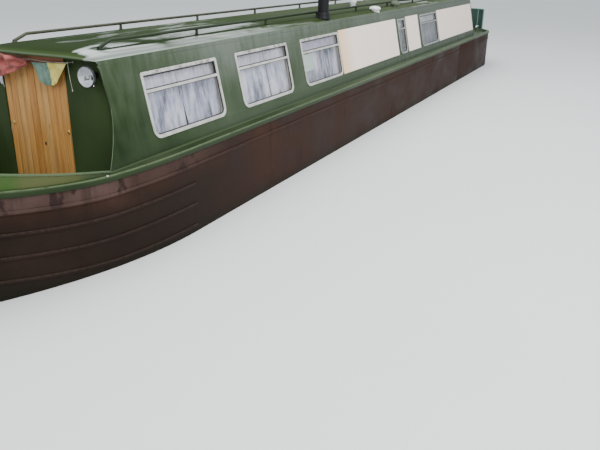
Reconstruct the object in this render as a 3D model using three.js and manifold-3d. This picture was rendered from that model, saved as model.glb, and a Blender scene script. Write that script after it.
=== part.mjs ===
// A narrowboat: a steel hull 17.9 m long and 2.08 m wide under a long low cabin, with an open stern deck.
// Millimetres. +X points to the bow, +Y to port, +Z up. Z = 0 is the underside of the baseplate.
import * as THREE from "three";
import { mergeVertices } from "three/addons/utils/BufferGeometryUtils.js";
import Module from "manifold-3d";

const wasm = await Module();
wasm.setup();

// Driving dimensions
const gap = 0.3; // between pieces that touch
const stemTip = 8950; // foremost point, the stem bar
const stemBarDepth = 25;
const halfBeam = 1040; // to the outside of the guards
const guardThickness = 15;
const hullWall = 50; // steel, insulation and lining
const bowCurve = 3200; // length over which each side curves in to the stem
const bowFullness = 2.4; // exponent of that curve at the gunwale
const bowFineness = 1.7; // exponent at the baseplate
const forefootRake = 650; // how far the stem's foot lies behind its head
const hullNose = stemTip - stemBarDepth; // the guards' meeting point
const bowStart = hullNose - bowCurve;
const counterEnd = -8730; // aftmost point of the deck
const counterRadius = 1050; // fore-and-aft radius of the round stern
const counterCentre = counterEnd + counterRadius;
const swimStart = -4700; // where the underwater sides begin to close towards the propeller
const swimEnd = -8040;
const swimFullness = 1.9;
const plate = 10; // deck and gunwale plate
const baseThickness = 12;
const gunwaleZ = 1340;
const uxterZ = 440; // flat underside of the counter
const sheerStart = 6790; // where the gunwale begins to rise towards the stem
const sheerRise = 90; // its rise over the first metre
const sheerPower = 1.6;

// Cabin
const cabinFront = 6625;
const cabinLength = 13150;
const cabinAft = cabinFront - cabinLength;
const cabinHeight = 889; // gunwale to roof corner
const sideLean = 197; // how far the side leans in over that height
const gunwaleWidth = 117;
const cabinWall = 60;
const sideFoot = halfBeam - gunwaleWidth;
const roofHalf = sideFoot - sideLean;
const roofThickness = 45;
const roofRise = 66; // crown of the roof above its corners
const roofCrownPower = 3.5;
const floorZ = 170;
const floorThickness = 25;
const wellDeckZ = 640;

// Windows, measured aft from the cabin front. One row is [name, fore edge, aft edge].
const windowTable = [
  ["window_1", 494, 1714],
  ["window_2", 2087, 3301],
  ["window_3", 3676, 4894],
  ["window_4", 7535, 7940],
  ["window_5", 8860, 10020],
];
const windowSill = 137;
const windowHead = 730;
const windowFlange = 15; // how far the frame laps over the cabin side
const frameWidth = 38;
const transomZ = 558; // middle of the bar under the opening top light
const glassThickness = 6;

// Shared helpers

const mapped = (geometry, move) => {
  const out = geometry.clone();
  const at = out.getAttribute("position");
  for (let i = 0; i < at.count; i += 1) {
    const [x, y, z] = move(at.getX(i), at.getY(i), at.getZ(i));
    at.setXYZ(i, x, y, z);
  }
  return out;
};

const toSolid = (geometry) => {
  const bare = geometry.index ? geometry.toNonIndexed() : geometry.clone();
  bare.deleteAttribute("normal");
  bare.deleteAttribute("uv");
  const merged = mergeVertices(bare, 1e-3);
  const made = new wasm.Manifold(
    new wasm.Mesh({
      numProp: 3,
      vertProperties: merged.attributes.position.array,
      triVerts: new Uint32Array(merged.index.array),
    }),
  );
  if (made.volume() >= 0) return made;
  const turned = new Uint32Array(merged.index.array);
  for (let i = 0; i < turned.length; i += 3) [turned[i + 1], turned[i + 2]] = [turned[i + 2], turned[i + 1]];
  return new wasm.Manifold(
    new wasm.Mesh({ numProp: 3, vertProperties: merged.attributes.position.array, triVerts: turned }),
  );
};

const toGeometry = (solid) => {
  const made = solid.getMesh();
  const out = new THREE.BufferGeometry();
  out.setAttribute("position", new THREE.BufferAttribute(new Float32Array(made.vertProperties), 3));
  out.setIndex(new THREE.BufferAttribute(new Uint32Array(made.triVerts), 1));
  return out;
};

const joined = (solids) => solids.reduce((whole, next) => whole.add(next));

// Triangles that close a ring, as rungs between its two long chains
const ladder = (ring) => {
  const span = (i, j) => Math.hypot(...ring[i].map((value, axis) => value - ring[j][axis]));
  const faces = [];
  let [i, j] = [0, ring.length - 1];
  while (j - i > 1) {
    if (span(i + 1, j) <= span(i, j - 1)) {
      faces.push([i, i + 1, j]);
      i += 1;
    } else {
      faces.push([i, j - 1, j]);
      j -= 1;
    }
  }
  return faces;
};

// The same as a fan from the ring's first point, which must see all the others
const fan = (ring) => ring.slice(2).map((_, j) => [0, j + 1, j + 2]);

// A closed surface through rings of equally many points. An open run gets an end on each side.
// From the ring turnAt on, the faces are split the other way, which mirrors those before it.
const loft = (rings, { closed = false, turnAt = Infinity, ends = ladder } = {}) => {
  const points = [];
  const faces = [];
  const count = rings[0].length;
  rings.forEach((ring) => ring.forEach((p) => points.push(...p)));
  const last = closed ? rings.length : rings.length - 1;
  for (let i = 0; i < last; i += 1) {
    const a = i * count;
    const b = ((i + 1) % rings.length) * count;
    for (let j = 0; j < count; j += 1) {
      const k = (j + 1) % count;
      if (i < turnAt) faces.push(a + j, b + j, b + k, a + j, b + k, a + k);
      else faces.push(a + j, b + j, a + k, b + j, b + k, a + k);
    }
  }
  if (!closed) {
    const end = (rings.length - 1) * count;
    ends(rings[0]).forEach(([i, j, k]) => faces.push(i, j, k));
    ends(rings[rings.length - 1]).forEach(([i, j, k]) => faces.push(end + i, end + k, end + j));
  }
  const out = new THREE.BufferGeometry();
  out.setAttribute("position", new THREE.Float32BufferAttribute(points, 3));
  out.setIndex(faces);
  return toSolid(out);
};

const polygon = (points) => new THREE.Shape(points.map(([x, y]) => new THREE.Vector2(x, y)));

// A flat plan outline, raised from one height to another
const raised = (points, low, high) =>
  toSolid(
    new THREE.ExtrudeGeometry(polygon(points), { depth: high - low, bevelEnabled: false }).translate(0, 0, low),
  );

const box = (low, high) =>
  toSolid(
    new THREE.BoxGeometry(high[0] - low[0], high[1] - low[1], high[2] - low[2]).translate(
      (low[0] + high[0]) / 2,
      (low[1] + high[1]) / 2,
      (low[2] + high[2]) / 2,
    ),
  );

// A profile of [radius, height] points turned about a vertical line
const turned = (profile, x, y, sides = 24) =>
  toSolid(
    new THREE.LatheGeometry(
      profile.map(([r, z]) => new THREE.Vector2(r, z)),
      sides,
    )
      .rotateX(Math.PI / 2)
      .translate(x, y, 0),
  );

// A round bar of even facets along a path of corner points, mitred where it turns
const bar = (path, radius, sides = 8) => {
  const points = path.map((p) => new THREE.Vector3(...p));
  const legs = points.slice(1).map((p, i) => p.clone().sub(points[i]).normalize());
  let across = new THREE.Vector3(0, 0, 1).cross(legs[0]);
  if (across.length() < 0.1) across = new THREE.Vector3(0, 1, 0).cross(legs[0]);
  across.normalize();
  const rings = points.map((p, i) => {
    const before = legs[Math.max(0, i - 1)];
    const after = legs[Math.min(legs.length - 1, i)];
    const facing = before.clone().add(after).normalize();
    const up = before.clone().cross(across).normalize();
    const ring = [];
    for (let k = 0; k < sides; k += 1) {
      const angle = ((k + 0.5) * 2 * Math.PI) / sides;
      const offset = across.clone().multiplyScalar(radius * Math.cos(angle));
      offset.addScaledVector(up, radius * Math.sin(angle));
      // slide along the bar onto the mitre plane
      offset.addScaledVector(before, -offset.dot(facing) / before.dot(facing));
      ring.push(p.clone().add(offset).toArray());
    }
    const turn = new THREE.Quaternion().setFromUnitVectors(before, after);
    across = across.clone().applyQuaternion(turn).normalize();
    return ring;
  });
  return loft(rings);
};

const root = new THREE.Group();
const finishes = {};
const finish = (name, color, roughness, metalness = 0) => {
  finishes[name] = new THREE.MeshStandardMaterial({ color, roughness, metalness });
};
finish("hullBrown", 0x4a3630, 0.75);
finish("deepGreen", 0x34502f, 0.4);
finish("darkGreen", 0x25361c, 0.5);
finish("teal", 0x2f6f5b, 0.45);
finish("pine", 0xb98449, 0.55);
finish("ply", 0x8a6a48, 0.8);
finish("aluminium", 0xb9babb, 0.4, 0.8);
finish("netCurtain", 0xd6d3de, 0.95);
finish("chrome", 0xd8dade, 0.12, 1);
finish("blackIron", 0x1b1b1c, 0.6, 0.3);
finish("white", 0xe9e9e6, 0.5);
finish("bareSteel", 0x6f6a63, 0.5, 0.8);
finish("bronze", 0x9a7436, 0.4, 0.9);
finish("engineGrey", 0x55605a, 0.6, 0.2);
finish("flagCloth", 0xb45a5c, 0.9);

const place = (name, solid, material) => {
  const mesh = new THREE.Mesh(toGeometry(solid), finishes[material]);
  mesh.name = name;
  root.add(mesh);
};

// Plan curves of the hull. d is the distance in from the outside of the guards.

const sheerAt = (x) => (x > sheerStart ? sheerRise * ((x - sheerStart) / 1000) ** sheerPower : 0);

// A point of the bow on the port side. u runs from 0 at bowStart to 1 at the stem,
// h from 0 at the baseplate to 1 at the gunwale.
const bowPoint = (u, d, h = 1) => {
  const length = bowCurve - 1.5 * d - forefootRake * (1 - h) ** 1.5;
  const power = bowFineness + (bowFullness - bowFineness) * h ** 0.7;
  return [bowStart + length * u, (halfBeam - d) * (1 - u ** power)];
};

// A point of the round stern on the port side. t runs from 0 at the stern's end to 1 where the side is straight.
const counterPoint = (t, d) => {
  const angle = (t * Math.PI) / 2;
  return [counterCentre - (counterRadius - d) * Math.cos(angle), (halfBeam - d) * Math.sin(angle)];
};

// A point of the swim, the tapering underwater stern, on the port side. v runs from 0 forward to 1 at the sternpost.
const swimPoint = (v, d) => {
  const length = swimStart - swimEnd - 2 * d;
  return [swimStart - length * v, (halfBeam - d) * (1 - v ** swimFullness)];
};

const bowSteps = [0, 0.14, 0.27, 0.34, 0.4, 0.48, 0.58, 0.67, 0.75, 0.82, 0.88, 0.93, 0.97, 0.988, 1];
const guardsEnd = 0.975; // share of the bow curve where the guards stop short of the stem bar
const counterSteps = [0, 0.17, 0.34, 0.5, 0.66, 0.83, 1];
const swimSteps = [0, 0.2, 0.36, 0.5, 0.62, 0.73, 0.83, 0.92, 1];

const bowZ = (u) => gunwaleZ + sheerAt(bowPoint(u, 0)[0]);

// Share of the hull's height at a depth below the gunwale
const shareAt = (u, depth) => (bowZ(u) - depth - baseThickness) / (bowZ(u) - baseThickness);
const bowPlace = (u, d, depth) => [...bowPoint(u, d, shareAt(u, depth)), bowZ(u) - depth];
const mirrored = (p) => [p[0], -p[1], ...p.slice(2)];
const mirroredPair = (port) => port.add(port.mirror([0, 1, 0]));

// Both sides of a run of port points that ends on the centreline
const bothSides = (rings) => [
  ...rings,
  ...rings
    .slice(0, -1)
    .reverse()
    .map((ring) => ring.map(mirrored)),
];

// Hull

const gunwaleLip = 55; // depth of the gunwale's outer edge
const plankLines = [185, 370, 580, 800]; // guards at the bow, below the gunwale
const guardHalf = 20;
const plating = guardThickness;

const shellTop = plate + 0.9; // below the gunwale's upper face
// The outside of the plating with its guards, as [distance in from the guards' faces, depth]
const platedProfile = [
  [plating, shellTop],
  ...plankLines.flatMap((depth) => [
    [plating, depth - guardHalf],
    [3, depth - guardHalf * 0.6],
    [3, depth + guardHalf * 0.6],
    [plating, depth + guardHalf],
  ]),
  [plating, 1060],
];
const platingDepths = platedProfile.filter(([d]) => d === plating).map(([, depth]) => depth);
const footDepth = (u) => bowZ(u) - baseThickness - gap;
const liningDepths = [shellTop, ...plankLines, 1060];

// A flat-fronted bar down the stem, hollowed at the back to fit the plating
const stemHalf = 20;
const stemHeadDepth = gunwaleLip + 12;
const stemClear = 2.4; // the plating is not quite flat here
const stemDepths = [...platingDepths, footDepth(1)];
const stemSection = (depth, clear, half) => {
  const nose = bowPlace(1, plating, depth);
  const behind = bowPoint(bowSteps[bowSteps.length - 2], plating, shareAt(1, depth));
  const fall = (half * (nose[0] - behind[0])) / behind[1];
  const x = nose[0] + clear;
  const [high, low] = [stemDepths[0], stemDepths[1]];
  const fallAtHead = (stemHeadDepth - high) / (low - high);
  const noses = [high, low].map((d) => bowPlace(1, plating, d)[0]);
  const front = nose[0] + stemTip - noses[0] - (noses[1] - noses[0]) * fallAtHead;
  return [
    [x, 0, nose[2]],
    [x - fall, half, nose[2]],
    [front - 8, half, nose[2]],
    [front, half / 2, nose[2]],
    [front, -half / 2, nose[2]],
    [front - 8, -half, nose[2]],
    [x - fall, -half, nose[2]],
  ];
};
const makeBowShell = () => {
  const ring = (u) => {
    const outer = [...platedProfile, [plating, footDepth(u)]].map(([d, depth]) =>
      bowPlace(u, u < guardsEnd ? d : plating, depth),
    );
    const inner = [...liningDepths, footDepth(u)].map((depth) => bowPlace(u, plating + hullWall, depth));
    return [...outer, ...inner.reverse()];
  };
  return loft(bothSides(bowSteps.map(ring)), { turnAt: bowSteps.length - 1 });
};

// The space inside the bow's lining, less a margin
const bowInside = (margin) => {
  const ring = (u) => {
    const depths = [...liningDepths, footDepth(u)].reverse();
    const port = depths.map((depth) => bowPlace(u, plating + hullWall + margin, depth));
    const [foot, head] = [port[0], port[port.length - 1]];
    return [...port, [head[0], -1, head[2]], [foot[0], -1, foot[2]]];
  };
  return mirroredPair(loft(bowSteps.slice(0, -1).map(ring)));
};

const sideTop = gunwaleZ - plate - gap;
// Section of a hull side with its one guard, as [distance in from the guards' faces, height]
const sideProfile = (foot) => [
  [plating, foot],
  [plating, gunwaleZ - plankLines[0] - guardHalf],
  [3, gunwaleZ - plankLines[0] - guardHalf * 0.6],
  [3, gunwaleZ - plankLines[0] + guardHalf * 0.6],
  [plating, gunwaleZ - plankLines[0] + guardHalf],
  [plating, sideTop],
  [plating + hullWall, sideTop],
  [plating + hullWall, foot],
];

const makeHullSide = (side) =>
  loft(
    [swimStart + gap, bowStart - gap].map((x) =>
      sideProfile(baseThickness + gap).map(([d, z]) => [x, side * (halfBeam - d), z]),
    ),
  );

const rudderX = -8620;
const shaftZ = 246;
const shaftTubeRadius = 32;
const skegEnd = -8700;
const skegHalf = 40;

const counterOutline = (d, from) => {
  const port = [[from, halfBeam - d], ...[...counterSteps].reverse().map((t) => counterPoint(t, d))];
  return [...port, ...port.slice(0, -1).reverse().map(mirrored)];
};

const swimOutline = (d) => {
  const port = swimSteps.map((v) => swimPoint(v, d));
  return [...port, ...port.slice(0, -1).reverse().map(mirrored)];
};

const makeSternShell = () => {
  const ring = (at) => sideProfile(uxterZ).map(([d, z]) => [...at(d), z]);
  const wall = loft(
    bothSides([
      ring((d) => [swimStart, halfBeam - d]),
      ...[...counterSteps].reverse().map((t) => ring((d) => counterPoint(t, d))),
    ]),
  );
  const floor = raised(counterOutline(plating, swimStart), uxterZ, uxterZ + plate);
  const swimOut = raised(swimOutline(plating), baseThickness + gap, uxterZ + 1);
  const inner = plating + hullWall;
  const swimIn = raised(
    [
      [swimStart + 100, halfBeam - inner],
      ...swimOutline(inner),
      [swimStart + 100, -halfBeam + inner],
    ],
    -10,
    uxterZ + plate + 1,
  );
  const rudderTube = turned(
    [
      [0, uxterZ - 4],
      [36, uxterZ - 4],
      [36, gunwaleZ + 20],
      [0, gunwaleZ + 20],
    ],
    rudderX,
    0,
  );
  const rudderBore = turned(
    [
      [0, uxterZ - 40],
      [27, uxterZ - 40],
      [27, gunwaleZ + 60],
      [0, gunwaleZ + 60],
    ],
    rudderX,
    0,
  );
  const shaftBore = toSolid(
    new THREE.CylinderGeometry(shaftTubeRadius + gap, shaftTubeRadius + gap, 900, 24)
      .rotateZ(Math.PI / 2)
      .translate(swimEnd, 0, shaftZ),
  );
  return joined([floor, swimOut])
    .subtract(swimIn)
    .add(wall)
    .add(rudderTube)
    .subtract(rudderBore)
    .subtract(shaftBore);
};

const makeBaseplate = () => {
  const edge = 5;
  const bow = bowSteps.map((u) => bowPoint(u, edge, 0));
  const stern = swimSteps.map((v) => swimPoint(v, edge));
  const port = [...stern.reverse(), ...bow];
  const hull = raised([...port, ...port.slice(1, -1).reverse().map(mirrored)], 0, baseThickness);
  return hull.add(box([skegEnd, -skegHalf, 0], [swimEnd + 300, skegHalf, baseThickness]));
};

// The gunwale: a flat plate round the whole boat with a rounded green guard down its outer edge
const deckEdgeWidth = 66; // where no cabin stands on it
const cabinShare = 0.34; // share of the bow curve that the cabin side stands on
// Width of the gunwale on the bow's curve: as far as the cabin side's inner face, then narrower
const bowGunwale = (u) => (u > cabinShare ? 90 : halfBeam - (sideFoot - cabinWall) / (1 - u ** bowFullness));
const makeGunwale = () => {
  const lip = guardThickness - 2.5;
  const section = (at, z, width) => {
    const p = (d, drop) => [...at(d), z - drop];
    return [
      p(4, gunwaleLip),
      p(0, gunwaleLip - 8),
      p(0, 6),
      p(5, 0),
      p(width, 0),
      p(width, plate),
      p(lip, plate),
      p(lip, gunwaleLip),
    ];
  };
  const wide = gunwaleWidth + cabinWall;
  const stern = counterSteps.map((t) => section((d) => counterPoint(t, d), gunwaleZ, deckEdgeWidth));
  const cabin = [
    [cabinAft - 30, deckEdgeWidth],
    [cabinAft - 4, wide],
  ].map(([x, width]) => section((d) => [x, halfBeam - d], gunwaleZ, width));
  const bow = bowSteps.map((u) => section((d) => bowPoint(u, d), bowZ(u), bowGunwale(u)));
  const port = [...stern, ...cabin, ...bow];
  const starboard = port
    .slice(1, -1)
    .reverse()
    .map((ring) => ring.map(mirrored));
  return loft([...port, ...starboard], { closed: true });
};

const makeStemBar = () => {
  const bar = loft(
    stemDepths.map((depth) => stemSection(depth, stemClear, stemHalf)),
    { ends: fan },
  );
  const top = bowZ(1) - stemHeadDepth;
  return bar.subtract(box([stemTip - 400, -100, top], [stemTip + 400, 100, top + 400]));
};

// Bow

const coamingFoot = 42; // its distance in from the guards where it leaves the cabin side
const coamingInset = 25; // and further forward
const coamingPlate = 9;
const coamingHeight = (u) => 26 + 108 * Math.min(1, Math.max(0, (u - cabinShare) / 0.3)) ** 0.8;

const makeBowCoaming = () => {
  const rings = bowSteps
    .filter((u) => u >= cabinShare)
    .map((u) => {
      const foot = bowZ(u) + 0.7;
      const top = bowZ(u) + coamingHeight(u);
      const lead = Math.min(1, (u - cabinShare) / 0.14);
      const inset = coamingFoot + (coamingInset - coamingFoot) * lead;
      const p = (d, z) => [...bowPoint(u, inset + d), z];
      return [
        p(0, foot),
        p(4, top - 22),
        p(-4, top - 16),
        p(-4, top - 6),
        p(3, top),
        p(13, top),
        p(4 + coamingPlate, top - 14),
        p(coamingPlate, foot),
      ];
    });
  return loft(bothSides(rings));
};

const foredeckAft = 8030;
const foredeckFore = 8730;
const foredeckDrop = plate + 2; // below the gunwale
const lockerFront = 8380;
const lockerAft = 8090;
const lockerHalf = 150;
const lidLap = 22;

// A layer under the foredeck's line, following the sheer
const deckLayer = (drop, thickness, half) =>
  loft(
    [foredeckAft, lockerFront + lidLap + 10, foredeckFore].map((x) => {
      const z = gunwaleZ + sheerAt(x) - drop;
      return [
        [x, half, z],
        [x, -half, z],
        [x, -half, z - thickness],
        [x, half, z - thickness],
      ];
    }),
  );

const makeForedeck = () => {
  const deck = deckLayer(foredeckDrop, plate, halfBeam);
  const top = gunwaleZ + sheerAt(foredeckAft) - foredeckDrop - 4;
  const bulkhead = box([foredeckAft, -halfBeam, wellDeckZ + gap], [foredeckAft + plate, halfBeam, top]);
  const hole = box([lockerAft, -lockerHalf, gunwaleZ], [lockerFront, lockerHalf, gunwaleZ + 400]);
  const studX = 8575;
  const studFoot = gunwaleZ + sheerAt(studX) - foredeckDrop - 6;
  const post = turned(
    [
      [0, studFoot],
      [30, studFoot],
      [30, studFoot + 150],
      [0, studFoot + 150],
    ],
    studX,
    0,
    16,
  );
  const cross = toSolid(new THREE.CylinderGeometry(20, 20, 240, 12).translate(studX, 0, studFoot + 135));
  return joined([joined([deck.subtract(hole), bulkhead]).intersect(bowInside(1)), post, cross]);
};

const makeGasLockerLid = () => {
  const layer = deckLayer(foredeckDrop - gap - plate, plate, lockerHalf + lidLap);
  return layer.intersect(
    box([lockerAft - lidLap, -lockerHalf - lidLap, gunwaleZ], [lockerFront + lidLap, lockerHalf + lidLap, gunwaleZ + 400]),
  );
};

const makeWellDeckFloor = () =>
  box([frontFace + gap, -halfBeam, wellDeckZ - plate], [foredeckAft + plate, halfBeam, wellDeckZ]).intersect(
    bowInside(1),
  );

// Cabin

const roofTop = (y) => cabinHeight + roofRise * (1 - Math.min(1, Math.abs(y) / roofHalf) ** roofCrownPower);

// Front edge of the cabin side as [forward of the roof corner, above the gunwale]
const wingEdge = [
  [158, 0],
  [79, 137],
  [25, 250],
  [-16, 367],
  [-38, 471],
  [-40, 569],
  [-30, 693],
  [-22, 813],
  [-2, cabinHeight - roofThickness],
];

const windowOutline = (fore, aft, inset) => {
  const low = windowSill + inset;
  const high = windowHead - inset;
  const a = cabinFront - aft + inset;
  const b = cabinFront - fore - inset;
  const bottom = Math.max(20, 95 - inset);
  const top = Math.max(12, 45 - inset);
  const out = new THREE.Shape();
  out.moveTo(a + bottom, low);
  out.lineTo(b - bottom, low);
  out.absarc(b - bottom, low + bottom, bottom, -Math.PI / 2, 0);
  out.lineTo(b, high - top);
  out.absarc(b - top, high - top, top, 0, Math.PI / 2);
  out.lineTo(a + top, high);
  out.absarc(a + top, high - top, top, Math.PI / 2, Math.PI);
  out.lineTo(a, low + bottom);
  out.absarc(a + bottom, low + bottom, bottom, Math.PI, Math.PI * 1.5);
  return out;
};

const flatOutline = (shape) => shape.extractPoints(2).shape.map((p) => [p.x, p.y]);

// A layer of the cabin side between two depths below its outer face, from an outline of [x, height]
const sideLayer = (shape, from, to, side) => {
  const flat = new THREE.ExtrudeGeometry(shape, { depth: to - from, bevelEnabled: false, curveSegments: 2 });
  const slope = sideLean / cabinHeight;
  return toSolid(mapped(flat, (x, z, depth) => [x, side * (sideFoot - slope * z - depth - from), z + gunwaleZ]));
};

// Height of the gunwale's inner edge at station x, above the gunwale amidships
const innerSheer = (x) => {
  const edge = bowSteps.map((u) => [bowPoint(u, gunwaleWidth + cabinWall)[0], bowZ(u) - gunwaleZ]);
  const next = Math.max(1, edge.findIndex((p) => p[0] >= x));
  const [a, b] = [edge[next - 1], edge[next]];
  return Math.max(0, a[1] + ((b[1] - a[1]) * (x - a[0])) / (b[0] - a[0]));
};

const wingPlate = 10; // thickness of the cabin side forward of the front bulkhead
const makeCabinSide = (side) => {
  const wing = wingEdge.map(([x, z]) => [cabinFront + x, z]);
  wing[0][1] = innerSheer(wing[0][0]) + gap;
  wing[wing.length - 1][1] -= gap;
  const keel = bowSteps
    .map((u) => bowPoint(u, gunwaleWidth + cabinWall)[0])
    .filter((x) => x < wing[0][0] - 20)
    .map((x) => [x, innerSheer(x) + gap]);
  const outline = polygon([[cabinAft, gap], ...keel, ...wing, [cabinAft, cabinHeight - roofThickness - gap]]);
  windowTable.forEach(([, fore, aft]) => {
    const points = flatOutline(windowOutline(fore, aft, windowFlange)).map(([x, z]) => new THREE.Vector2(x, z));
    outline.holes.push(new THREE.Path(points));
  });
  const lining = polygon([
    [frontFace, -10],
    [cabinFront + 300, -10],
    [cabinFront + 300, cabinHeight],
    [frontFace, cabinHeight],
  ]);
  return sideLayer(outline, 0, cabinWall, side).subtract(sideLayer(lining, wingPlate, cabinWall + 20, side));
};

// The frame as [distance in from its edge, depth behind the cabin side's face], from the glass's
// outer face round the frame to the glass's inner face
const frameProfile = [
  [frameWidth, 12],
  [frameWidth, -9],
  [0, -9],
  [0, -gap],
  [windowFlange + gap, -gap],
  [windowFlange + gap, 30],
  [frameWidth, 30],
  [frameWidth, 12 + glassThickness],
];

const makeWindow = (fore, aft, side) => {
  const slope = sideLean / cabinHeight;
  const rings = frameProfile.map(([inset, depth]) =>
    flatOutline(windowOutline(fore, aft, inset)).map(([x, z]) => [x, side * (sideFoot - slope * z - depth), z + gunwaleZ]),
  );
  const transom = polygon([
    [cabinFront - aft + frameWidth - 8, transomZ - 14],
    [cabinFront - fore - frameWidth + 8, transomZ - 14],
    [cabinFront - fore - frameWidth + 8, transomZ + 14],
    [cabinFront - aft + frameWidth - 8, transomZ + 14],
  ]);
  return loft(rings).add(sideLayer(transom, -5, 21, side));
};

const curtainDepth = cabinWall + 16;
const curtainThickness = 12;
const makeCurtains = (side) => {
  const rect = (a, b, low, high) =>
    polygon([
      [a, low],
      [b, low],
      [b, high],
      [a, high],
    ]);
  const first = cabinFront - windowTable[0][1];
  const last = cabinFront - windowTable[windowTable.length - 1][2];
  const rod = sideLayer(rect(last - 40, first + 40, 752, 768), curtainDepth - 2, curtainDepth + 14, side);
  const drops = windowTable.map(([, fore, aft]) =>
    sideLayer(
      rect(cabinFront - aft + 6, cabinFront - fore - 6, windowSill - 14, 760),
      curtainDepth,
      curtainDepth + curtainThickness,
      side,
    ),
  );
  const brackets = [first + 30, -1300, last - 30].map((x) =>
    sideLayer(rect(x - 8, x + 8, 752, 768), cabinWall + gap, curtainDepth + 2, side),
  );
  return joined([rod, ...drops, ...brackets]);
};

const roofY = [-1, -0.93, -0.84, -0.72, -0.55, -0.3, 0, 0.3, 0.55, 0.72, 0.84, 0.93, 1];
const roofOverhang = 6;
const hatchOpeningLength = 640;
const hatchOpeningHalf = 320;
const runnerHalf = 345;
const runnerWidth = 22;
const runnerTop = cabinHeight + roofRise + 34;
const hatchTravel = 620;

const frontBow = 80; // how far the front edge bows forward at the middle
const frontDrop = 260; // length over which the crown falls to the front edge
// Rings of the roof as [distance behind the front edge, share of the full crown]
const roofRings = [
  [0, 0.32],
  [50, 0.56],
  [120, 0.8],
  [190, 0.94],
  [frontDrop, 1],
  [cabinLength, 1],
];

// The roof's slab between two drops below its upper face
const roofLayer = (upper, lower) => {
  const at = (share) => {
    const y = share * (roofHalf + roofOverhang);
    return [y, gunwaleZ + roofTop(y)];
  };
  const ring = (back, fall) => {
    const top = roofY.map((share) => {
      const [y, z] = at(share);
      const low = gunwaleZ + cabinHeight;
      const x = cabinFront - back + (back < frontDrop ? frontBow * (1 - share * share) * (1 - back / frontDrop) : 0);
      return [x, y, low + (z - low) * fall];
    });
    const face = (drop) => top.map(([x, y, z]) => [x, y, z - drop]);
    return [...face(upper), ...face(lower).reverse()];
  };
  return loft(roofRings.map(([back, fall]) => ring(back, fall)));
};

const makeRoof = () => {
  const opening = box(
    [cabinAft - 10, -hatchOpeningHalf, gunwaleZ + 700],
    [cabinAft + hatchOpeningLength, hatchOpeningHalf, gunwaleZ + 1100],
  );
  const runner = (side) =>
    box(
      [cabinAft, side > 0 ? runnerHalf : -runnerHalf - runnerWidth, gunwaleZ + roofTop(runnerHalf) - 20],
      [
        cabinAft + hatchOpeningLength + hatchTravel + 60,
        side > 0 ? runnerHalf + runnerWidth : -runnerHalf,
        gunwaleZ + runnerTop,
      ],
    );
  const coaming = box(
    [cabinAft + hatchOpeningLength, -hatchOpeningHalf, gunwaleZ + roofTop(0) - 20],
    [cabinAft + hatchOpeningLength + 14, hatchOpeningHalf, gunwaleZ + runnerTop - 8],
  );
  return joined([roofLayer(0, roofThickness).subtract(opening), runner(1), runner(-1), coaming]);
};

const makeSlidingHatch = () => {
  const half = runnerHalf + runnerWidth + 8;
  const under = gunwaleZ + runnerTop + gap;
  const skin = 12;
  const section = [
    [half + skin, under - 26],
    [half + skin, under + 6],
    [half * 0.6, under + 24],
    [0, under + 30],
    [-half * 0.6, under + 24],
    [-half - skin, under + 6],
    [-half - skin, under - 26],
    [-half, under - 26],
    [-half, under],
    [half, under],
    [half, under - 26],
  ];
  const outline = polygon(section);
  const flat = new THREE.ExtrudeGeometry(outline, { depth: hatchOpeningLength + 50, bevelEnabled: false });
  return toSolid(mapped(flat, (y, z, x) => [cabinAft - 20 + x, y, z]));
};

// A slab across the boat, from an outline in the YZ plane
const acrossX = (points, from, to, holes = []) => {
  const shape = polygon(points);
  holes.forEach((hole) => shape.holes.push(new THREE.Path(hole.map(([y, z]) => new THREE.Vector2(y, z)))));
  const flat = new THREE.ExtrudeGeometry(shape, { depth: to - from, bevelEnabled: false });
  return toSolid(mapped(flat, (y, z, x) => [from + x, y, z]));
};

const insideCabin = (z) => sideFoot - (sideLean / cabinHeight) * z - cabinWall - 2;
const insideHull = halfBeam - plating - hullWall - gap;

// The part of a bulkhead between the cabin sides, from a low edge to above the roof's underside
const upperBulkhead = (low) => {
  const eaves = cabinHeight - roofThickness - 2;
  const port = [
    [insideCabin(0) + 2 - gap, low],
    [insideCabin(0) + 2 - gap, gunwaleZ],
    [insideCabin(eaves), gunwaleZ + eaves],
    [insideCabin(eaves), gunwaleZ + cabinHeight + 50],
  ];
  return [...port, ...[...port].reverse().map(([y, z]) => [-y, z])];
};

const bulkheadThickness = 50;
const frontFace = cabinFront - 75;
const frontBack = frontFace - bulkheadThickness;
const doorLow = -560; // sill of the front doors, from the gunwale
const doorHigh = 832;
const doorPort = 298;
const doorStarboard = -463;
const doorMeet = (doorPort + doorStarboard) / 2;
const leafThickness = 32;
const doorGap = 5;
const meetingGap = 6.8;

const makeFrontBulkhead = () => {
  const low = gunwaleZ - plate - 2;
  const foot = box([frontBack, -halfBeam, floorZ + floorThickness + gap], [frontFace, halfBeam, low]);
  const doorway = box(
    [frontBack - 10, doorStarboard, gunwaleZ + doorLow],
    [frontFace + 10, doorPort, gunwaleZ + doorHigh],
  );
  return acrossX(upperBulkhead(low - 2), frontBack, frontFace)
    .add(foot.intersect(bowInside(1)))
    .subtract(doorway)
    .subtract(roofLayer(-200, roofThickness + gap));
};

// A flat leaf that turns on a pintle at its hinged corner, which stands on the sill
const pintleRadius = 4.6;
const makeDoorLeaf = ([low, high], [from, to], back, [hingeX, hingeY]) =>
  box([back, low, from], [back + leafThickness, high, to]).add(
    turned(
      [
        [0, from - doorGap + gap],
        [pintleRadius, from - doorGap + gap],
        [pintleRadius, from + 60],
        [0, from + 60],
      ],
      hingeX,
      hingeY,
      12,
    ),
  );

const rearFace = cabinAft;
const rearDoorHalf = 318;
const deckZ = gunwaleZ - 60;
const rearDoorHigh = cabinHeight + 40;

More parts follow.
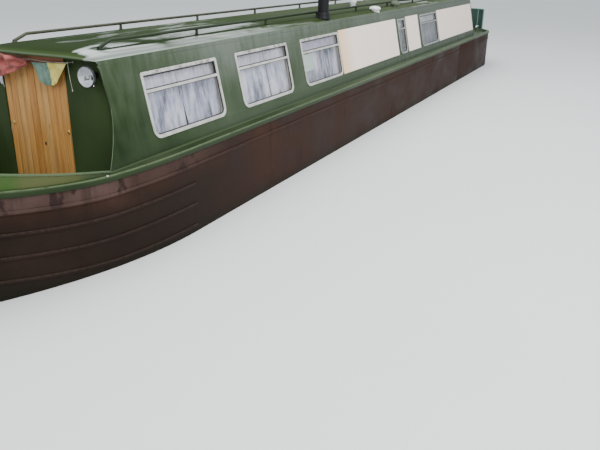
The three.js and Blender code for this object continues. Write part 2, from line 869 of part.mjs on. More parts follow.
const makeRearBulkhead = () => {
  // what a leaf's pintle stands on, just above the deck
  const sillLug = (side) =>
    box(
      [rearFace - 20, side > 0 ? 296 : -340, deckZ + 4],
      [rearFace + 10, side > 0 ? 340 : -296, deckZ + 20],
    );
  const swimHalf = 622;
  const low = gunwaleZ - plate - 2;
  const port = [
    [swimHalf, floorZ + floorThickness + gap],
    [swimHalf, uxterZ + plate + gap],
    [insideHull, uxterZ + plate + gap],
    [insideHull, low],
  ];
  const foot = acrossX([...port, ...[...port].reverse().map(([y, z]) => [-y, z])], rearFace, rearFace + bulkheadThickness);
  const doorway = box(
    [rearFace - 10, -rearDoorHalf, deckZ + 20],
    [rearFace + bulkheadThickness + 10, rearDoorHalf, gunwaleZ + 1100],
  );
  return acrossX(upperBulkhead(low - 2), rearFace, rearFace + bulkheadThickness)
    .add(foot)
    .subtract(doorway)
    .subtract(roofLayer(-200, roofThickness + gap))
    .add(sillLug(1))
    .add(sillLug(-1));
};

const makeCabinFloor = () => {
  const inset = plating + hullWall + 3;
  const from = rearFace - 10;
  const to = bowStart - 20;
  const aft = swimSteps.map((v) => swimPoint(v, inset)).filter(([x]) => x > from);
  const share = (from - swimStart) / (swimEnd - swimStart + 2 * inset);
  const port = [
    [frontBack + 40, 680],
    [to, 680],
    [to, halfBeam - inset],
    ...aft,
    [from, (halfBeam - inset) * (1 - share ** swimFullness) - 12],
  ];
  const slab = raised([...port, ...[...port].reverse().map(mirrored)], floorZ, floorZ + floorThickness);
  const bearers = [];
  for (let x = -4400; x < to; x += 1500) {
    bearers.push(
      box([x, 80 - halfBeam + inset, baseThickness + gap], [x + 60, halfBeam - inset - 80, floorZ + 2]),
    );
  }
  return joined([slab, ...bearers]);
};

// Roof furniture

const railY = 505;
const railHeight = 1000; // above the gunwale
const railRadius = 15;
const railPosts = [1772, 3258, 4744, 6230, 7716, 9202, 10688, 12174];

const makeHandrail = (side) => {
  const y = side * railY;
  const z = gunwaleZ + railHeight;
  const foot = gunwaleZ + roofTop(railY) + railRadius * 0.7;
  const end = cabinFront - 12560;
  const path = [
    [cabinFront - 285, y, foot],
    [cabinFront - 445, y, z],
    [end + 160, y, z],
    [end, y, foot],
  ];
  const posts = railPosts.map((back) =>
    turned(
      [
        [0, gunwaleZ + roofTop(railY + 14) + 1],
        [11, gunwaleZ + roofTop(railY + 14) + 1],
        [11, z],
        [0, z],
      ],
      cabinFront - back,
      y,
      8,
    ),
  );
  const under = roofSkin(gap);
  return joined([bar(path, railRadius), ...posts]).subtract(under);
};

// The space under the roof's upper face, raised by a small gap, to seat what stands on it
const roofSkin = (lift) => {
  const ring = (x) => {
    const top = roofY.map((share) => {
      const y = share * (roofHalf + roofOverhang);
      return [x, y, gunwaleZ + roofTop(y) + lift];
    });
    return [...top, [x, roofHalf + roofOverhang, gunwaleZ + 700], [x, -roofHalf - roofOverhang, gunwaleZ + 700]];
  };
  return loft([ring(cabinFront - frontDrop - 1), ring(cabinAft + 10)]);
};

const chimneyAt = [cabinFront - 4700, 625];
const makeChimney = () => {
  const [x, y] = chimneyAt;
  const foot = gunwaleZ + roofTop(y) - 30;
  const pipe = turned(
    [
      [0, foot],
      [100, foot],
      [100, foot + 52],
      [90, foot + 62],
      [86, foot + 118],
      [77, foot + 122],
      [77, foot + 610],
      [88, foot + 612],
      [88, foot + 628],
      [62, foot + 628],
      [62, foot + 300],
      [0, foot + 300],
    ],
    x,
    y,
  );
  return pipe.subtract(roofSkin(gap));
};

// Roof vents as [name, aft of the cabin front, y, radius, height, finish]
const ventTable = [
  ["vent_fore", 6720, 645, 98, 78, "white"],
  ["vent_mid", 7850, 610, 86, 105, "deepGreen"],
  ["vent_aft", 6893, 183, 58, 150, "white"],
];

const makeVent = (back, y, radius, height) => {
  const foot = gunwaleZ + roofTop(y);
  const cap = turned(
    [
      [0, foot - 30],
      [radius * 0.8, foot - 30],
      [radius * 0.8, foot + height * 0.3],
      [radius, foot + height * 0.34],
      [radius, foot + height * 0.52],
      [radius * 0.86, foot + height * 0.76],
      [radius * 0.55, foot + height * 0.94],
      [0, foot + height],
    ],
    cabinFront - back,
    y,
  );
  return cap.subtract(roofSkin(gap));
};

const lampAt = [645, 757]; // port of the centreline and above the gunwale
const makeHeadlamp = () => {
  const [y, z] = lampAt;
  const profile = [
    [0, 0],
    [30, 0],
    [30, 58],
    [56, 68],
    [80, 86],
    [92, 104],
    [92, 118],
    [84, 124],
    [0, 130],
  ];
  return toSolid(
    new THREE.LatheGeometry(
      profile.map(([r, h]) => new THREE.Vector2(r, h)),
      24,
    )
      .rotateZ(-Math.PI / 2)
      .translate(frontFace + gap, y, gunwaleZ + z),
  );
};

// Three cloth pennants on a line under the roof's front edge, one row each: [port end, starboard end, drop]
const pennants = [
  [385, -30, 210],
  [-48, -400, 190],
  [-420, -650, 200],
];
const buntingX = frontFace + 45;
const buntingZ = gunwaleZ + 846;
const buntingLine = 4;
const makeBunting = () => {
  const x = buntingX;
  const z = buntingZ;
  const line = bar(
    [
      [frontFace + gap, 402, z],
      [x, 402, z],
      [x, -655, z],
      [frontFace + gap, -655, z],
    ],
    buntingLine,
    6,
  );
  const cloth = pennants.map(([a, b, drop]) =>
    acrossX(
      [
        [b, z],
        [(a + b) / 2, z - drop],
        [a, z],
      ],
      x - 3,
      x + 3,
    ),
  );
  return joined([line, ...cloth]);
};

// The line's loose end hangs from its port corner as a free cord with a knot at its foot, [y, z] along its route
const tailTop = buntingZ - buntingLine - gap;
const tailRoute = [
  [388, tailTop],
  [388, 2168],
  [388.3, 2153],
  [388.9, 2138],
  [389.8, 2123],
  [390.8, 2108],
  [392.1, 2093],
  [393.5, 2078],
  [395.1, 2063],
  [396.9, 2048],
  [398.8, 2033],
  [400.9, 2018],
  [403.1, 2003],
  [405.4, 1988],
  [407.8, 1973],
  [410.3, 1958],
];
const tailWidth = 5;
const makeBuntingTail = () => {
  const section = new THREE.Shape();
  for (let k = 0; k < 8; k += 1) {
    const angle = ((k + 0.5) * Math.PI) / 4;
    section[k ? "lineTo" : "moveTo"]((tailWidth / 2) * Math.cos(angle), (tailWidth / 2) * Math.sin(angle));
  }
  const route = new THREE.CatmullRomCurve3(tailRoute.map(([y, z]) => new THREE.Vector3(buntingX, y, z)));
  return toSolid(new THREE.ExtrudeGeometry(section, { steps: 16, bevelEnabled: false, extrudePath: route }));
};

const makeTailKnot = () => {
  const [y, z] = tailRoute.at(-1);
  return turned(
    [
      [0, z - gap - 13],
      [4, z - gap - 12],
      [6, z - gap - 8],
      [6, z - gap - 5],
      [4, z - gap - 0.8],
      [0, z - gap - 0.8],
    ],
    buntingX,
    y,
  );
};

// Stern

const hatchFore = -6950;
const hatchAft = -7510;
const engineHatchHalf = 300;
const deckLap = 25;

const makeSternDeck = () => {
  const inset = plating + hullWall + 2;
  const outline = counterOutline(inset, cabinAft - 2);
  const slab = raised(outline, deckZ - plate, deckZ);
  const hole = box([hatchAft, -engineHatchHalf, deckZ - 100], [hatchFore, engineHatchHalf, deckZ + 100]);
  const tubeHole = turned(
    [
      [0, deckZ - 50],
      [37, deckZ - 50],
      [37, deckZ + 50],
      [0, deckZ + 50],
    ],
    rudderX,
    0,
  );
  const dolly = (side) => {
    const [x, y] = [-8180, side * 620];
    return joined([
      turned(
        [
          [0, deckZ - 3],
          [34, deckZ - 3],
          [34, deckZ + 150],
          [0, deckZ + 150],
        ],
        x,
        y,
        16,
      ),
      toSolid(new THREE.CylinderGeometry(18, 18, 220, 12).rotateZ(Math.PI / 2).translate(x, y, deckZ + 130)),
    ]);
  };
  return joined([slab.subtract(hole).subtract(tubeHole), dolly(1), dolly(-1)]);
};

const makeEngineHatch = () =>
  box(
    [hatchAft - deckLap, -engineHatchHalf - deckLap, deckZ + gap],
    [hatchFore + deckLap, engineHatchHalf + deckLap, deckZ + gap + 18],
  );

const sternRailInset = 32;
const sternRailSweep = 0.5; // as a share of each quarter of the counter, from the stern
const sternRailTop = gunwaleZ + 500;
const makeSternRail = () => {
  const top = sternRailTop;
  const radius = 18;
  const arc = counterSteps.filter((t) => t <= sternRailSweep).reverse();
  const path = [
    ...arc.map((t) => [...counterPoint(t, sternRailInset), top]),
    ...[...arc]
      .reverse()
      .slice(1)
      .map((t) => mirrored([...counterPoint(t, sternRailInset), top])),
  ];
  const foot = gunwaleZ + gap;
  const posts = [path[0], path[2], mirrored(path[2]), mirrored(path[0])].map(([x, y]) =>
    turned(
      [
        [0, foot],
        [16, foot],
        [16, top],
        [0, top],
      ],
      x,
      y,
      8,
    ),
  );
  // The sheet steel infill between the top rail and the gunwale
  const ring = ([x, y]) => {
    const length = Math.hypot(x - counterCentre, y);
    const nx = (x - counterCentre) / length;
    const ny = y / length;
    return [
      [x + nx * 3, y + ny * 3, foot],
      [x + nx * 3, y + ny * 3, top],
      [x - nx * 3, y - ny * 3, top],
      [x - nx * 3, y - ny * 3, foot],
    ];
  };
  const infill = loft(path.map(ring));
  return joined([bar(path, radius), ...posts, infill]);
};

const skegTop = 54;
const makeSkeg = () => {
  const cup = turned(
    [
      [0, 20],
      [46, 20],
      [46, skegTop + 16],
      [0, skegTop + 16],
    ],
    rudderX,
    0,
    16,
  );
  const bearing = turned(
    [
      [0, 30],
      [27, 30],
      [27, 120],
      [0, 120],
    ],
    rudderX,
    0,
    16,
  );
  return box([skegEnd, -skegHalf, baseThickness + gap], [swimEnd + 80, skegHalf, skegTop])
    .subtract(raised(swimOutline(plating - 0.8), 0, skegTop + 10))
    .add(cup)
    .subtract(bearing);
};

const stockRadius = 22;
const makeRudderBlade = () => {
  const low = 82;
  const high = 412;
  const halfThickness = 8;
  const blade = acrossX(
    [
      [-halfThickness, low],
      [halfThickness, low],
      [halfThickness, high],
      [-halfThickness, high],
    ],
    -stemTip,
    rudderX + 120,
  );
  const stock = turned(
    [
      [0, 30 + gap],
      [stockRadius, 30 + gap],
      [stockRadius, gunwaleZ + 118],
      [0, gunwaleZ + 118],
    ],
    rudderX,
    0,
    24,
  );
  return joined([blade, stock]);
};

const tillerZ = gunwaleZ + 800;
const makeTillerArm = () => {
  const foot = gunwaleZ + 118 + gap;
  const neck = bar(
    [
      [rudderX, 0, foot],
      [rudderX, 0, gunwaleZ + 560],
      [rudderX + 40, 0, gunwaleZ + 690],
      [rudderX + 130, 0, gunwaleZ + 775],
      [rudderX + 240, 0, tillerZ],
      [rudderX + 780, 0, tillerZ + 30],
    ],
    21,
    12,
  );
  const grip = bar(
    [
      [rudderX + 770, 0, tillerZ + 30],
      [rudderX + 1150, 0, tillerZ + 50],
    ],
    19,
    12,
  );
  return joined([neck, grip]);
};

const propellerX = -8185;
const makeSternTube = () => {
  const [aft, fore] = [propellerX + 60 + gap, -7440 - gap];
  const tube = new THREE.CylinderGeometry(shaftTubeRadius, shaftTubeRadius, fore - aft, 24)
    .rotateZ(Math.PI / 2)
    .translate((aft + fore) / 2, 0, shaftZ);
  const bore = new THREE.CylinderGeometry(21, 21, 600, 24).rotateZ(Math.PI / 2).translate(-7890, 0, shaftZ);
  return toSolid(tube).subtract(toSolid(bore));
};

const propellerRadius = 172;
const makePropeller = () => {
  const hub = toSolid(
    new THREE.CylinderGeometry(34, 26, 120, 24).rotateZ(Math.PI / 2).translate(propellerX, 0, shaftZ),
  );
  const shaft = toSolid(
    new THREE.CylinderGeometry(19, 19, 360, 24).rotateZ(Math.PI / 2).translate(propellerX + 210, 0, shaftZ),
  );
  const blades = [0, 1, 2].map((k) => {
    const outline = new THREE.Shape();
    outline.moveTo(-18, 20);
    outline.quadraticCurveTo(-82, 90, -58, 138);
    outline.quadraticCurveTo(-30, propellerRadius + 4, 14, propellerRadius - 10);
    outline.quadraticCurveTo(66, 140, 50, 90);
    outline.lineTo(18, 20);
    const flat = new THREE.ExtrudeGeometry(outline, { depth: 9, bevelEnabled: false, curveSegments: 3 });
    // Lies in the plane square to the shaft, pitched about its own spindle
    const blade = flat
      .translate(0, 0, -4.5)
      .rotateY(Math.PI / 2)
      .rotateZ(0.62)
      .rotateX((k * 2 * Math.PI) / 3)
      .translate(propellerX, 0, shaftZ);
    return toSolid(blade);
  });
  return joined([hub, shaft, ...blades]);
};

const makeEngineBlock = () =>
  joined([
    box([-7280, -240, 330], [-6620, 240, 900]),
    box([-7160, -240, baseThickness + gap], [-7100, 240, 340]),
    box([-6800, -240, baseThickness + gap], [-6740, 240, 340]),
    box([-7440, -90, 200], [-7270, 90, 420]),
  ]);

// Assembly

const sides = [
  ["port", 1],
  ["starboard", -1],
];

place("baseplate", makeBaseplate(), "hullBrown");
place("cabin_floor", makeCabinFloor(), "ply");
place("bow_shell", makeBowShell(), "hullBrown");
place("stern_shell", makeSternShell(), "hullBrown");
place("gunwale", makeGunwale(), "deepGreen");
place("stem_bar", makeStemBar(), "hullBrown");
place("bow_coaming", makeBowCoaming(), "deepGreen");
place("well_deck_floor", makeWellDeckFloor(), "deepGreen");
place("foredeck", makeForedeck(), "deepGreen");
place("gas_locker_lid", makeGasLockerLid(), "deepGreen");
place("front_bulkhead", makeFrontBulkhead(), "darkGreen");
place("rear_bulkhead", makeRearBulkhead(), "darkGreen");
place("roof", makeRoof(), "deepGreen");
place("sliding_hatch", makeSlidingHatch(), "deepGreen");

sides.forEach(([name, side]) => {
  place(`hull_side_${name}`, makeHullSide(side), "hullBrown");
  place(`cabin_side_${name}`, makeCabinSide(side), "deepGreen");
  place(`curtains_${name}`, makeCurtains(side), "netCurtain");
  place(`handrail_${name}`, makeHandrail(side), "deepGreen");
  windowTable.forEach(([window, fore, aft]) => {
    place(`${window}_${name}`, makeWindow(fore, aft, side), "aluminium");
  });
});

// Front doors stand in their opening and open into the cabin
const frontLeafBack = frontFace - 8 - leafThickness;
const frontLeafHeight = [gunwaleZ + doorLow + doorGap, gunwaleZ + doorHigh - doorGap];
const frontLeaf = (low, high, hingeY) =>
  makeDoorLeaf([low, high], frontLeafHeight, frontLeafBack, [frontLeafBack, hingeY]);
const [portJamb, starboardJamb] = [doorPort - doorGap, doorStarboard + doorGap];
place("front_door_port", frontLeaf(doorMeet + meetingGap / 2, portJamb, portJamb), "pine");
place("front_door_starboard", frontLeaf(starboardJamb, doorMeet - meetingGap / 2, starboardJamb), "pine");

// Rear doors stand a little proud, so that they fold right back against the bulkhead
const rearLeafBack = rearFace - 6;
const rearLeafHeight = [deckZ + 20 + doorGap, gunwaleZ + rearDoorHigh];
const rearJamb = rearDoorHalf - doorGap;
const rearLeaf = (low, high, hingeY) =>
  makeDoorLeaf([low, high], rearLeafHeight, rearLeafBack, [rearLeafBack, hingeY]);
place("rear_door_port", rearLeaf(meetingGap / 2, rearJamb, rearJamb), "darkGreen");
place("rear_door_starboard", rearLeaf(-rearJamb, -meetingGap / 2, -rearJamb), "darkGreen");

place("chimney", makeChimney(), "blackIron");
ventTable.forEach(([name, back, y, radius, height, material]) =>
  place(name, makeVent(back, y, radius, height), material),
);
place("headlamp", makeHeadlamp(), "chrome");
place("bunting", makeBunting(), "flagCloth");
place("bunting_tail", makeBuntingTail(), "flagCloth");
place("bunting_tail_knot", makeTailKnot(), "flagCloth");

place("stern_deck", makeSternDeck(), "darkGreen");
place("engine_hatch", makeEngineHatch(), "darkGreen");
place("stern_rail", makeSternRail(), "teal");
place("skeg", makeSkeg(), "hullBrown");
place("rudder_blade", makeRudderBlade(), "hullBrown");
place("tiller_arm", makeTillerArm(), "deepGreen");
place("stern_tube", makeSternTube(), "bareSteel");
place("propeller", makePropeller(), "bronze");
place("engine_block", makeEngineBlock(), "engineGrey");

export default root;
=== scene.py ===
import math

import bmesh
import bpy
from mathutils import Matrix, Vector, noise


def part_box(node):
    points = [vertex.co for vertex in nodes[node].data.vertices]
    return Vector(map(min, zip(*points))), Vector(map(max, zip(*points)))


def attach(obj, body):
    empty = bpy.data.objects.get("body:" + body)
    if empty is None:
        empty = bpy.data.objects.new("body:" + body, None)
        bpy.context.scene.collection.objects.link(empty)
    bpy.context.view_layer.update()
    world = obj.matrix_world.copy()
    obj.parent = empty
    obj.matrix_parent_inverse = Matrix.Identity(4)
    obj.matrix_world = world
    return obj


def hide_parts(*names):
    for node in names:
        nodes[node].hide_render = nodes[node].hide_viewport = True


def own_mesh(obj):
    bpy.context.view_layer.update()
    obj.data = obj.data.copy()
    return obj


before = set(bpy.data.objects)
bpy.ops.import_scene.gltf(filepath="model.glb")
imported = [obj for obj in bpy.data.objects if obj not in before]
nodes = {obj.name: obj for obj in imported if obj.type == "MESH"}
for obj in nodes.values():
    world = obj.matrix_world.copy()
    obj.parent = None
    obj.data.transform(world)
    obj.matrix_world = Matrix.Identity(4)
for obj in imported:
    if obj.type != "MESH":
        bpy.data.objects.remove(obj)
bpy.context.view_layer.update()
print("frame loaded:", len(nodes), "nodes")

# The boat's own lines, in metres

boat = {
    "gunwale": 1.34,  # height of the side deck amidships
    "waterline": 0.47,
    "cabinFront": 6.625,
    "sideFoot": 0.923,  # half breadth of the cabin at the gunwale
    "sideSlope": 0.197 / 0.889,  # tumblehome, in per metre up
    "roofHalf": 0.726,
    "eaves": 0.889,  # roof corner above the gunwale
    "roofRise": 0.066,
    "roofPower": 3.5,
    "frontFace": 6.55,
    "sheerFrom": 6.79,  # the side deck rises ahead of here
    "sheerRise": 0.09,
    "sheerPower": 1.6,
    "paintEnds": (6.6, -6.5),  # front and stern, for the paint's changes along the boat
    "seat": 0.0003,  # gap between a piece and what carries it
}


def sidePoint(side, x, z, depth=0.0):
    y = boat["sideFoot"] - boat["sideSlope"] * z - depth
    return Vector((x, side * y, boat["gunwale"] + z))


def roofTop(y):
    share = min(1.0, abs(y) / boat["roofHalf"])
    return boat["gunwale"] + boat["eaves"] + boat["roofRise"] * (1 - share ** boat["roofPower"])


def sheerAt(x):
    ahead = max(0.0, x - boat["sheerFrom"])
    return boat["sheerRise"] * ahead ** boat["sheerPower"]


def addToScene(obj):
    bpy.context.collection.objects.link(obj)


# Camera, floor and light

cameraSetup = {
    "place": (10.9019, 4.699, 3.0161),
    "yaw": -0.45477,
    "pitch": 0.37547,
    "roll": 0.014386,
    "lens": 40.3,
}


def makeCamera(c):
    yaw, pitch = c["yaw"], c["pitch"]
    ahead = Vector((-math.cos(yaw) * math.cos(pitch), math.sin(yaw) * math.cos(pitch), -math.sin(pitch)))
    right = Vector((math.sin(yaw), math.cos(yaw), 0))
    up = right.cross(ahead)
    tilt, lean = math.cos(c["roll"]), math.sin(c["roll"])
    across = right * tilt + up * lean
    upright = up * tilt - right * lean
    data = bpy.data.cameras.new("camera")
    data.sensor_width = 36
    data.lens = c["lens"]
    data.clip_end = 300
    cam = bpy.data.objects.new("camera", data)
    rows = [(*row, at) for row, at in zip(zip(across, upright, -ahead), c["place"])]
    cam.matrix_world = Matrix((*rows, (0, 0, 0, 1)))
    addToScene(cam)
    bpy.context.scene.camera = cam


makeCamera(cameraSetup)


def node(tree, kind, sockets=None, **props):
    made = tree.nodes.new(kind)
    for key, value in props.items():
        setattr(made, key, value)
    for key, value in (sockets or {}).items():
        if isinstance(value, bpy.types.NodeSocket):
            tree.links.new(value, made.inputs[key])
        else:
            made.inputs[key].default_value = value
    return made


def maths(tree, operation, a, b=0.0, c=0.0):
    return node(tree, "ShaderNodeMath", {0: a, 1: b, 2: c}, operation=operation).outputs[0]


def ramp(tree, factor, *stops):
    made = node(tree, "ShaderNodeValToRGB", {"Fac": factor})
    band = made.color_ramp
    while len(band.elements) < len(stops):
        band.elements.new(0.5)
    for element, (at, colour) in zip(band.elements, stops):
        element.position = at
        element.color = colour if len(colour) == 4 else (*colour, 1)
    return made.outputs["Color"]


def fade(tree, value, low, high, start=0.0, end=1.0):
    sockets = {"Value": value, "From Min": low, "From Max": high, "To Min": start, "To Max": end}
    return node(tree, "ShaderNodeMapRange", sockets, clamp=True).outputs["Result"]


def mix(tree, factor, a, b, blend="MIX"):
    made = node(tree, "ShaderNodeMix", data_type="RGBA", blend_type=blend)
    for index, value in ((0, factor), (6, a), (7, b)):
        if isinstance(value, bpy.types.NodeSocket):
            tree.links.new(value, made.inputs[index])
        else:
            made.inputs[index].default_value = value if index == 0 or len(value) == 4 else (*value, 1)
    return made.outputs[2]


def cloud(tree, at, scale, stretch=(1, 1, 1), detail=4.0, rough=0.55, distort=0.0):
    moved = node(tree, "ShaderNodeMapping", {"Vector": at, "Scale": stretch}).outputs[0]
    sockets = {"Vector": moved, "Scale": scale, "Detail": detail, "Roughness": rough, "Distortion": distort}
    return node(tree, "ShaderNodeTexNoise", sockets).outputs["Fac"]


def newMaterial(name, **fixed):
    material = bpy.data.materials.new(name)
    material.use_nodes = True
    tree = material.node_tree
    shader = tree.nodes["Principled BSDF"]
    for key, value in fixed.items():
        shader.inputs[key.replace("_", " ")].default_value = value
    place = node(tree, "ShaderNodeTexCoord").outputs["Object"]
    return material, tree, shader, place


def bump(tree, shader, height, strength=0.3, distance=0.002):
    made = node(tree, "ShaderNodeBump", {"Height": height, "Strength": strength, "Distance": distance})
    tree.links.new(made.outputs[0], shader.inputs["Normal"])


def paintIn(tree, shader, colour=None, roughness=None):
    if colour is not None:
        tree.links.new(colour, shader.inputs["Base Color"])
    if roughness is not None:
        tree.links.new(roughness, shader.inputs["Roughness"])


floorSetup = {"half": 70.0, "colour": (0.8, 0.8, 0.78), "mottle": 0.02}


def makeFloor(f):
    mesh = bpy.data.meshes.new("floor")
    h, z = f["half"], boat["waterline"]
    mesh.from_pydata([(-h, -h, z), (h, -h, z), (h, h, z), (-h, h, z)], [], [(0, 1, 2, 3)])
    floor = bpy.data.objects.new("floor", mesh)
    addToScene(floor)
    material, tree, shader, place = newMaterial("paleFloor")
    shade = fade(tree, cloud(tree, place, 0.4), 0.3, 0.7, 1 - f["mottle"], 1.0)
    colour = mix(tree, 1.0, f["colour"], shade, "MULTIPLY")
    paintIn(tree, shader, colour, fade(tree, cloud(tree, place, 2), 0, 1, 0.8, 0.95))
    mesh.materials.append(material)


makeFloor(floorSetup)

lightSetup = {
    "sky": (0.86, 0.93, 1.0),
    "skyStrength": 1.12,
    "groundStrength": 0.48,
    "key": {"place": (9.0, 9.0, 9.0), "aim": (3.0, 0.0, 1.3), "size": 8.0, "watts": 1300},
    "fill": {"place": (16.0, -2.0, 7.0), "aim": (4.0, 0.0, 1.3), "size": 8.0, "watts": 390},
    "top": {"place": (-1.0, 1.0, 12.0), "aim": (-1.0, 0.0, 1.3), "size": 16.0, "watts": 1300},
}


def makeLights(setup):
    for name in ("key", "fill", "top"):
        wanted = setup[name]
        data = bpy.data.lights.new(name, "AREA")
        data.shape = "DISK"
        data.size = wanted["size"]
        data.energy = wanted["watts"]
        lamp = bpy.data.objects.new(name, data)
        place = Vector(wanted["place"])
        lamp.location = place
        lamp.rotation_euler = (Vector(wanted["aim"]) - place).to_track_quat("-Z", "Y").to_euler()
        addToScene(lamp)
    world = bpy.data.worlds.new("sky")
    bpy.context.scene.world = world
    world.use_nodes = True
    tree = world.node_tree
    background = tree.nodes["Background"]
    direction = node(tree, "ShaderNodeTexCoord").outputs["Generated"]
    up = node(tree, "ShaderNodeSeparateXYZ", {0: direction}).outputs[2]
    strength = fade(tree, up, -0.15, 0.65, setup["groundStrength"], setup["skyStrength"])
    tree.links.new(strength, background.inputs["Strength"])
    background.inputs["Color"].default_value = (*setup["sky"], 1)


makeLights(lightSetup)
print("camera, floor and light set")

# Finishes


def plus(tree, a, b):
    return maths(tree, "ADD", a, b)


def minus(tree, a, b):
    return maths(tree, "SUBTRACT", a, b)


def times(tree, a, b):
    return maths(tree, "MULTIPLY", a, b)


def absolute(tree, a):
    return maths(tree, "ABSOLUTE", a)


def split(tree, place):
    return node(tree, "ShaderNodeSeparateXYZ", {0: place}).outputs[:3]


def wearAndLightBy(tree, name):
    return node(tree, "ShaderNodeAttribute", attribute_name=name).outputs["Fac"]


def greys(stops):
    return [(at, (level,) * 3) for at, level in stops]


def belowGunwale(tree, place):
    # 0 at the gunwale, negative down the side
    x, _, z = split(tree, place)
    ahead = maths(tree, "MAXIMUM", minus(tree, x, boat["sheerFrom"]), 0.0)
    rise = times(tree, maths(tree, "POWER", ahead, boat["sheerPower"]), boat["sheerRise"])
    return minus(tree, z, plus(tree, rise, boat["gunwale"]))


def ovalAround(tree, a, b, oval):
    # 0 at the oval's middle, 1 on its edge
    squares = [
        maths(tree, "POWER", maths(tree, "DIVIDE", minus(tree, value, middle), half), 2.0)
        for value, middle, half in zip((a, b), oval["at"], oval["half"])
    ]
    return plus(tree, *squares)


hullPaint = {
    "brown": [
        (0.3, (0.022, 0.0095, 0.0062)), (0.55, (0.034, 0.0155, 0.0103)), (0.75, (0.047, 0.0235, 0.0162)),
    ],
    "dark": [(0.3, (0.012, 0.0072, 0.005)), (0.55, (0.0185, 0.011, 0.008)), (0.75, (0.027, 0.017, 0.013))],
    "mauve": [(0.3, (0.042, 0.0235, 0.0195)), (0.55, (0.076, 0.046, 0.04)), (0.8, (0.108, 0.068, 0.061))],
    "darkFrom": (4.4, 5.6),  # the bow's plating is darker ahead of here
    "darkBelow": (-0.18, -0.36),
    "mauveAbove": (-0.192, -0.184),  # the band over the first guard
    "mauveFrom": (5.0, 5.9),
    "mauveDulls": (7.3, 6.6),
    "blotches": (0.019, 0.0105, 0.0095),
    "drips": (0.017, 0.009, 0.0065),
    "rust": (0.075, 0.026, 0.01),
    "lowHullDark": (0.011, 0.011, 0.007),
    "lowHullDarkBelow": (-0.87, -0.74),
    "scuffsAndHighlights": (0.06, 0.038, 0.032),
}


def hullFinish(p):
    material, tree, shader, place = newMaterial("hullPaint", Specular_IOR_Level=0.07)
    x = split(tree, place)[0]
    below = belowGunwale(tree, place)
    broad = cloud(tree, place, 1.6, (1, 1, 1.4), 5)
    drips = cloud(tree, place, 7.0, (1, 1, 0.12), 3)
    blotch = cloud(tree, place, 5.5, (1, 1, 0.55), 3, 0.5)
    fine = cloud(tree, place, 38.0, (1, 1, 1), 6, 0.7)
    brown, dark, mauve = (ramp(tree, broad, *p[name]) for name in ("brown", "dark", "mauve"))
    bow = times(tree, fade(tree, x, *p["darkFrom"]), fade(tree, below, *p["darkBelow"]))
    colour = mix(tree, bow, brown, dark)
    strake = times(tree, fade(tree, below, *p["mauveAbove"]), fade(tree, x, *p["mauveFrom"]))
    mauve = mix(tree, fade(tree, x, *p["mauveDulls"], 0.0, 0.45), mauve, brown)
    colour = mix(tree, strake, colour, mauve)
    stained = times(tree, fade(tree, blotch, 0.56, 0.6), fade(tree, strake, 0.0, 1.0, 0.25, 0.8))
    colour = mix(tree, stained, colour, p["blotches"])
    colour = mix(tree, fade(tree, drips, 0.55, 0.68, 0.0, 0.5), colour, p["drips"])
    rust = times(tree, fade(tree, fine, 0.6, 0.72), fade(tree, broad, 0.45, 0.65))
    colour = mix(tree, times(tree, rust, 0.45), colour, p["rust"])
    # darker towards the waterline
    colour = mix(tree, fade(tree, below, *p["lowHullDarkBelow"], 0.7, 0.0), colour, p["lowHullDark"])
    # painted highlight on the guards' upper faces, with scuffs
    scuffAndHighlight = times(tree, wearAndLightBy(tree, "wearAndLight"), fade(tree, fine, 0.4, 0.6, 0.05, 0.4))
    colour = mix(tree, scuffAndHighlight, colour, p["scuffsAndHighlights"])
    paintIn(tree, shader, colour, fade(tree, broad, 0.3, 0.7, 0.45, 0.7))
    bump(tree, shader, plus(tree, fine, drips), 0.35, 0.002)
    return material


cabinPaint = {
    # the paint's colour by its paleness, which holds a painted sheen as well as the paint's random tone
    "palenessGreens": [
        (0.06, (0.0085, 0.02, 0.0045)), (0.3, (0.031, 0.05, 0.0215)), (0.48, (0.052, 0.072, 0.041)),
        (0.66, (0.082, 0.102, 0.074)), (0.84, (0.12, 0.14, 0.112)),
    ],
    # painted sheen along the boat, added to the paleness, least at the front
    "along": [(0.0, 0.0), (0.05, 0.17), (0.13, 0.85), (0.2, 0.72), (0.3, 0.58), (1.0, 0.55)],
    "heights": (1.4, 2.24),  # painted sheen, paler upwards
    "lowBelow": (1.8, 1.48),  # painted light, lifting the shade under the windows, aft of lowAft
    "lowAft": (4.6, 2.6),
    # painted light, lifting the shade near the side's foot
    "footBelow": (1.66, 1.38),
    "specks": (0.016, 0.027, 0.01),
    "lineBelow": (1.3545, 1.3515),  # a pale line where the side stands on the deck
    "line": (0.105, 0.15, 0.08),
    "wallSlope": 0.2216,
    "withinWall": (1.212, 1.2095),
    "lining": (0.42, 0.36, 0.27),  # pale ply
    "liningFrom": (-6.518, -6.512),
    "frontEnd": (0.02, 0.036, 0.01),  # painted as the bulkhead
    "frontEndFrom": (6.49, 6.51),
}


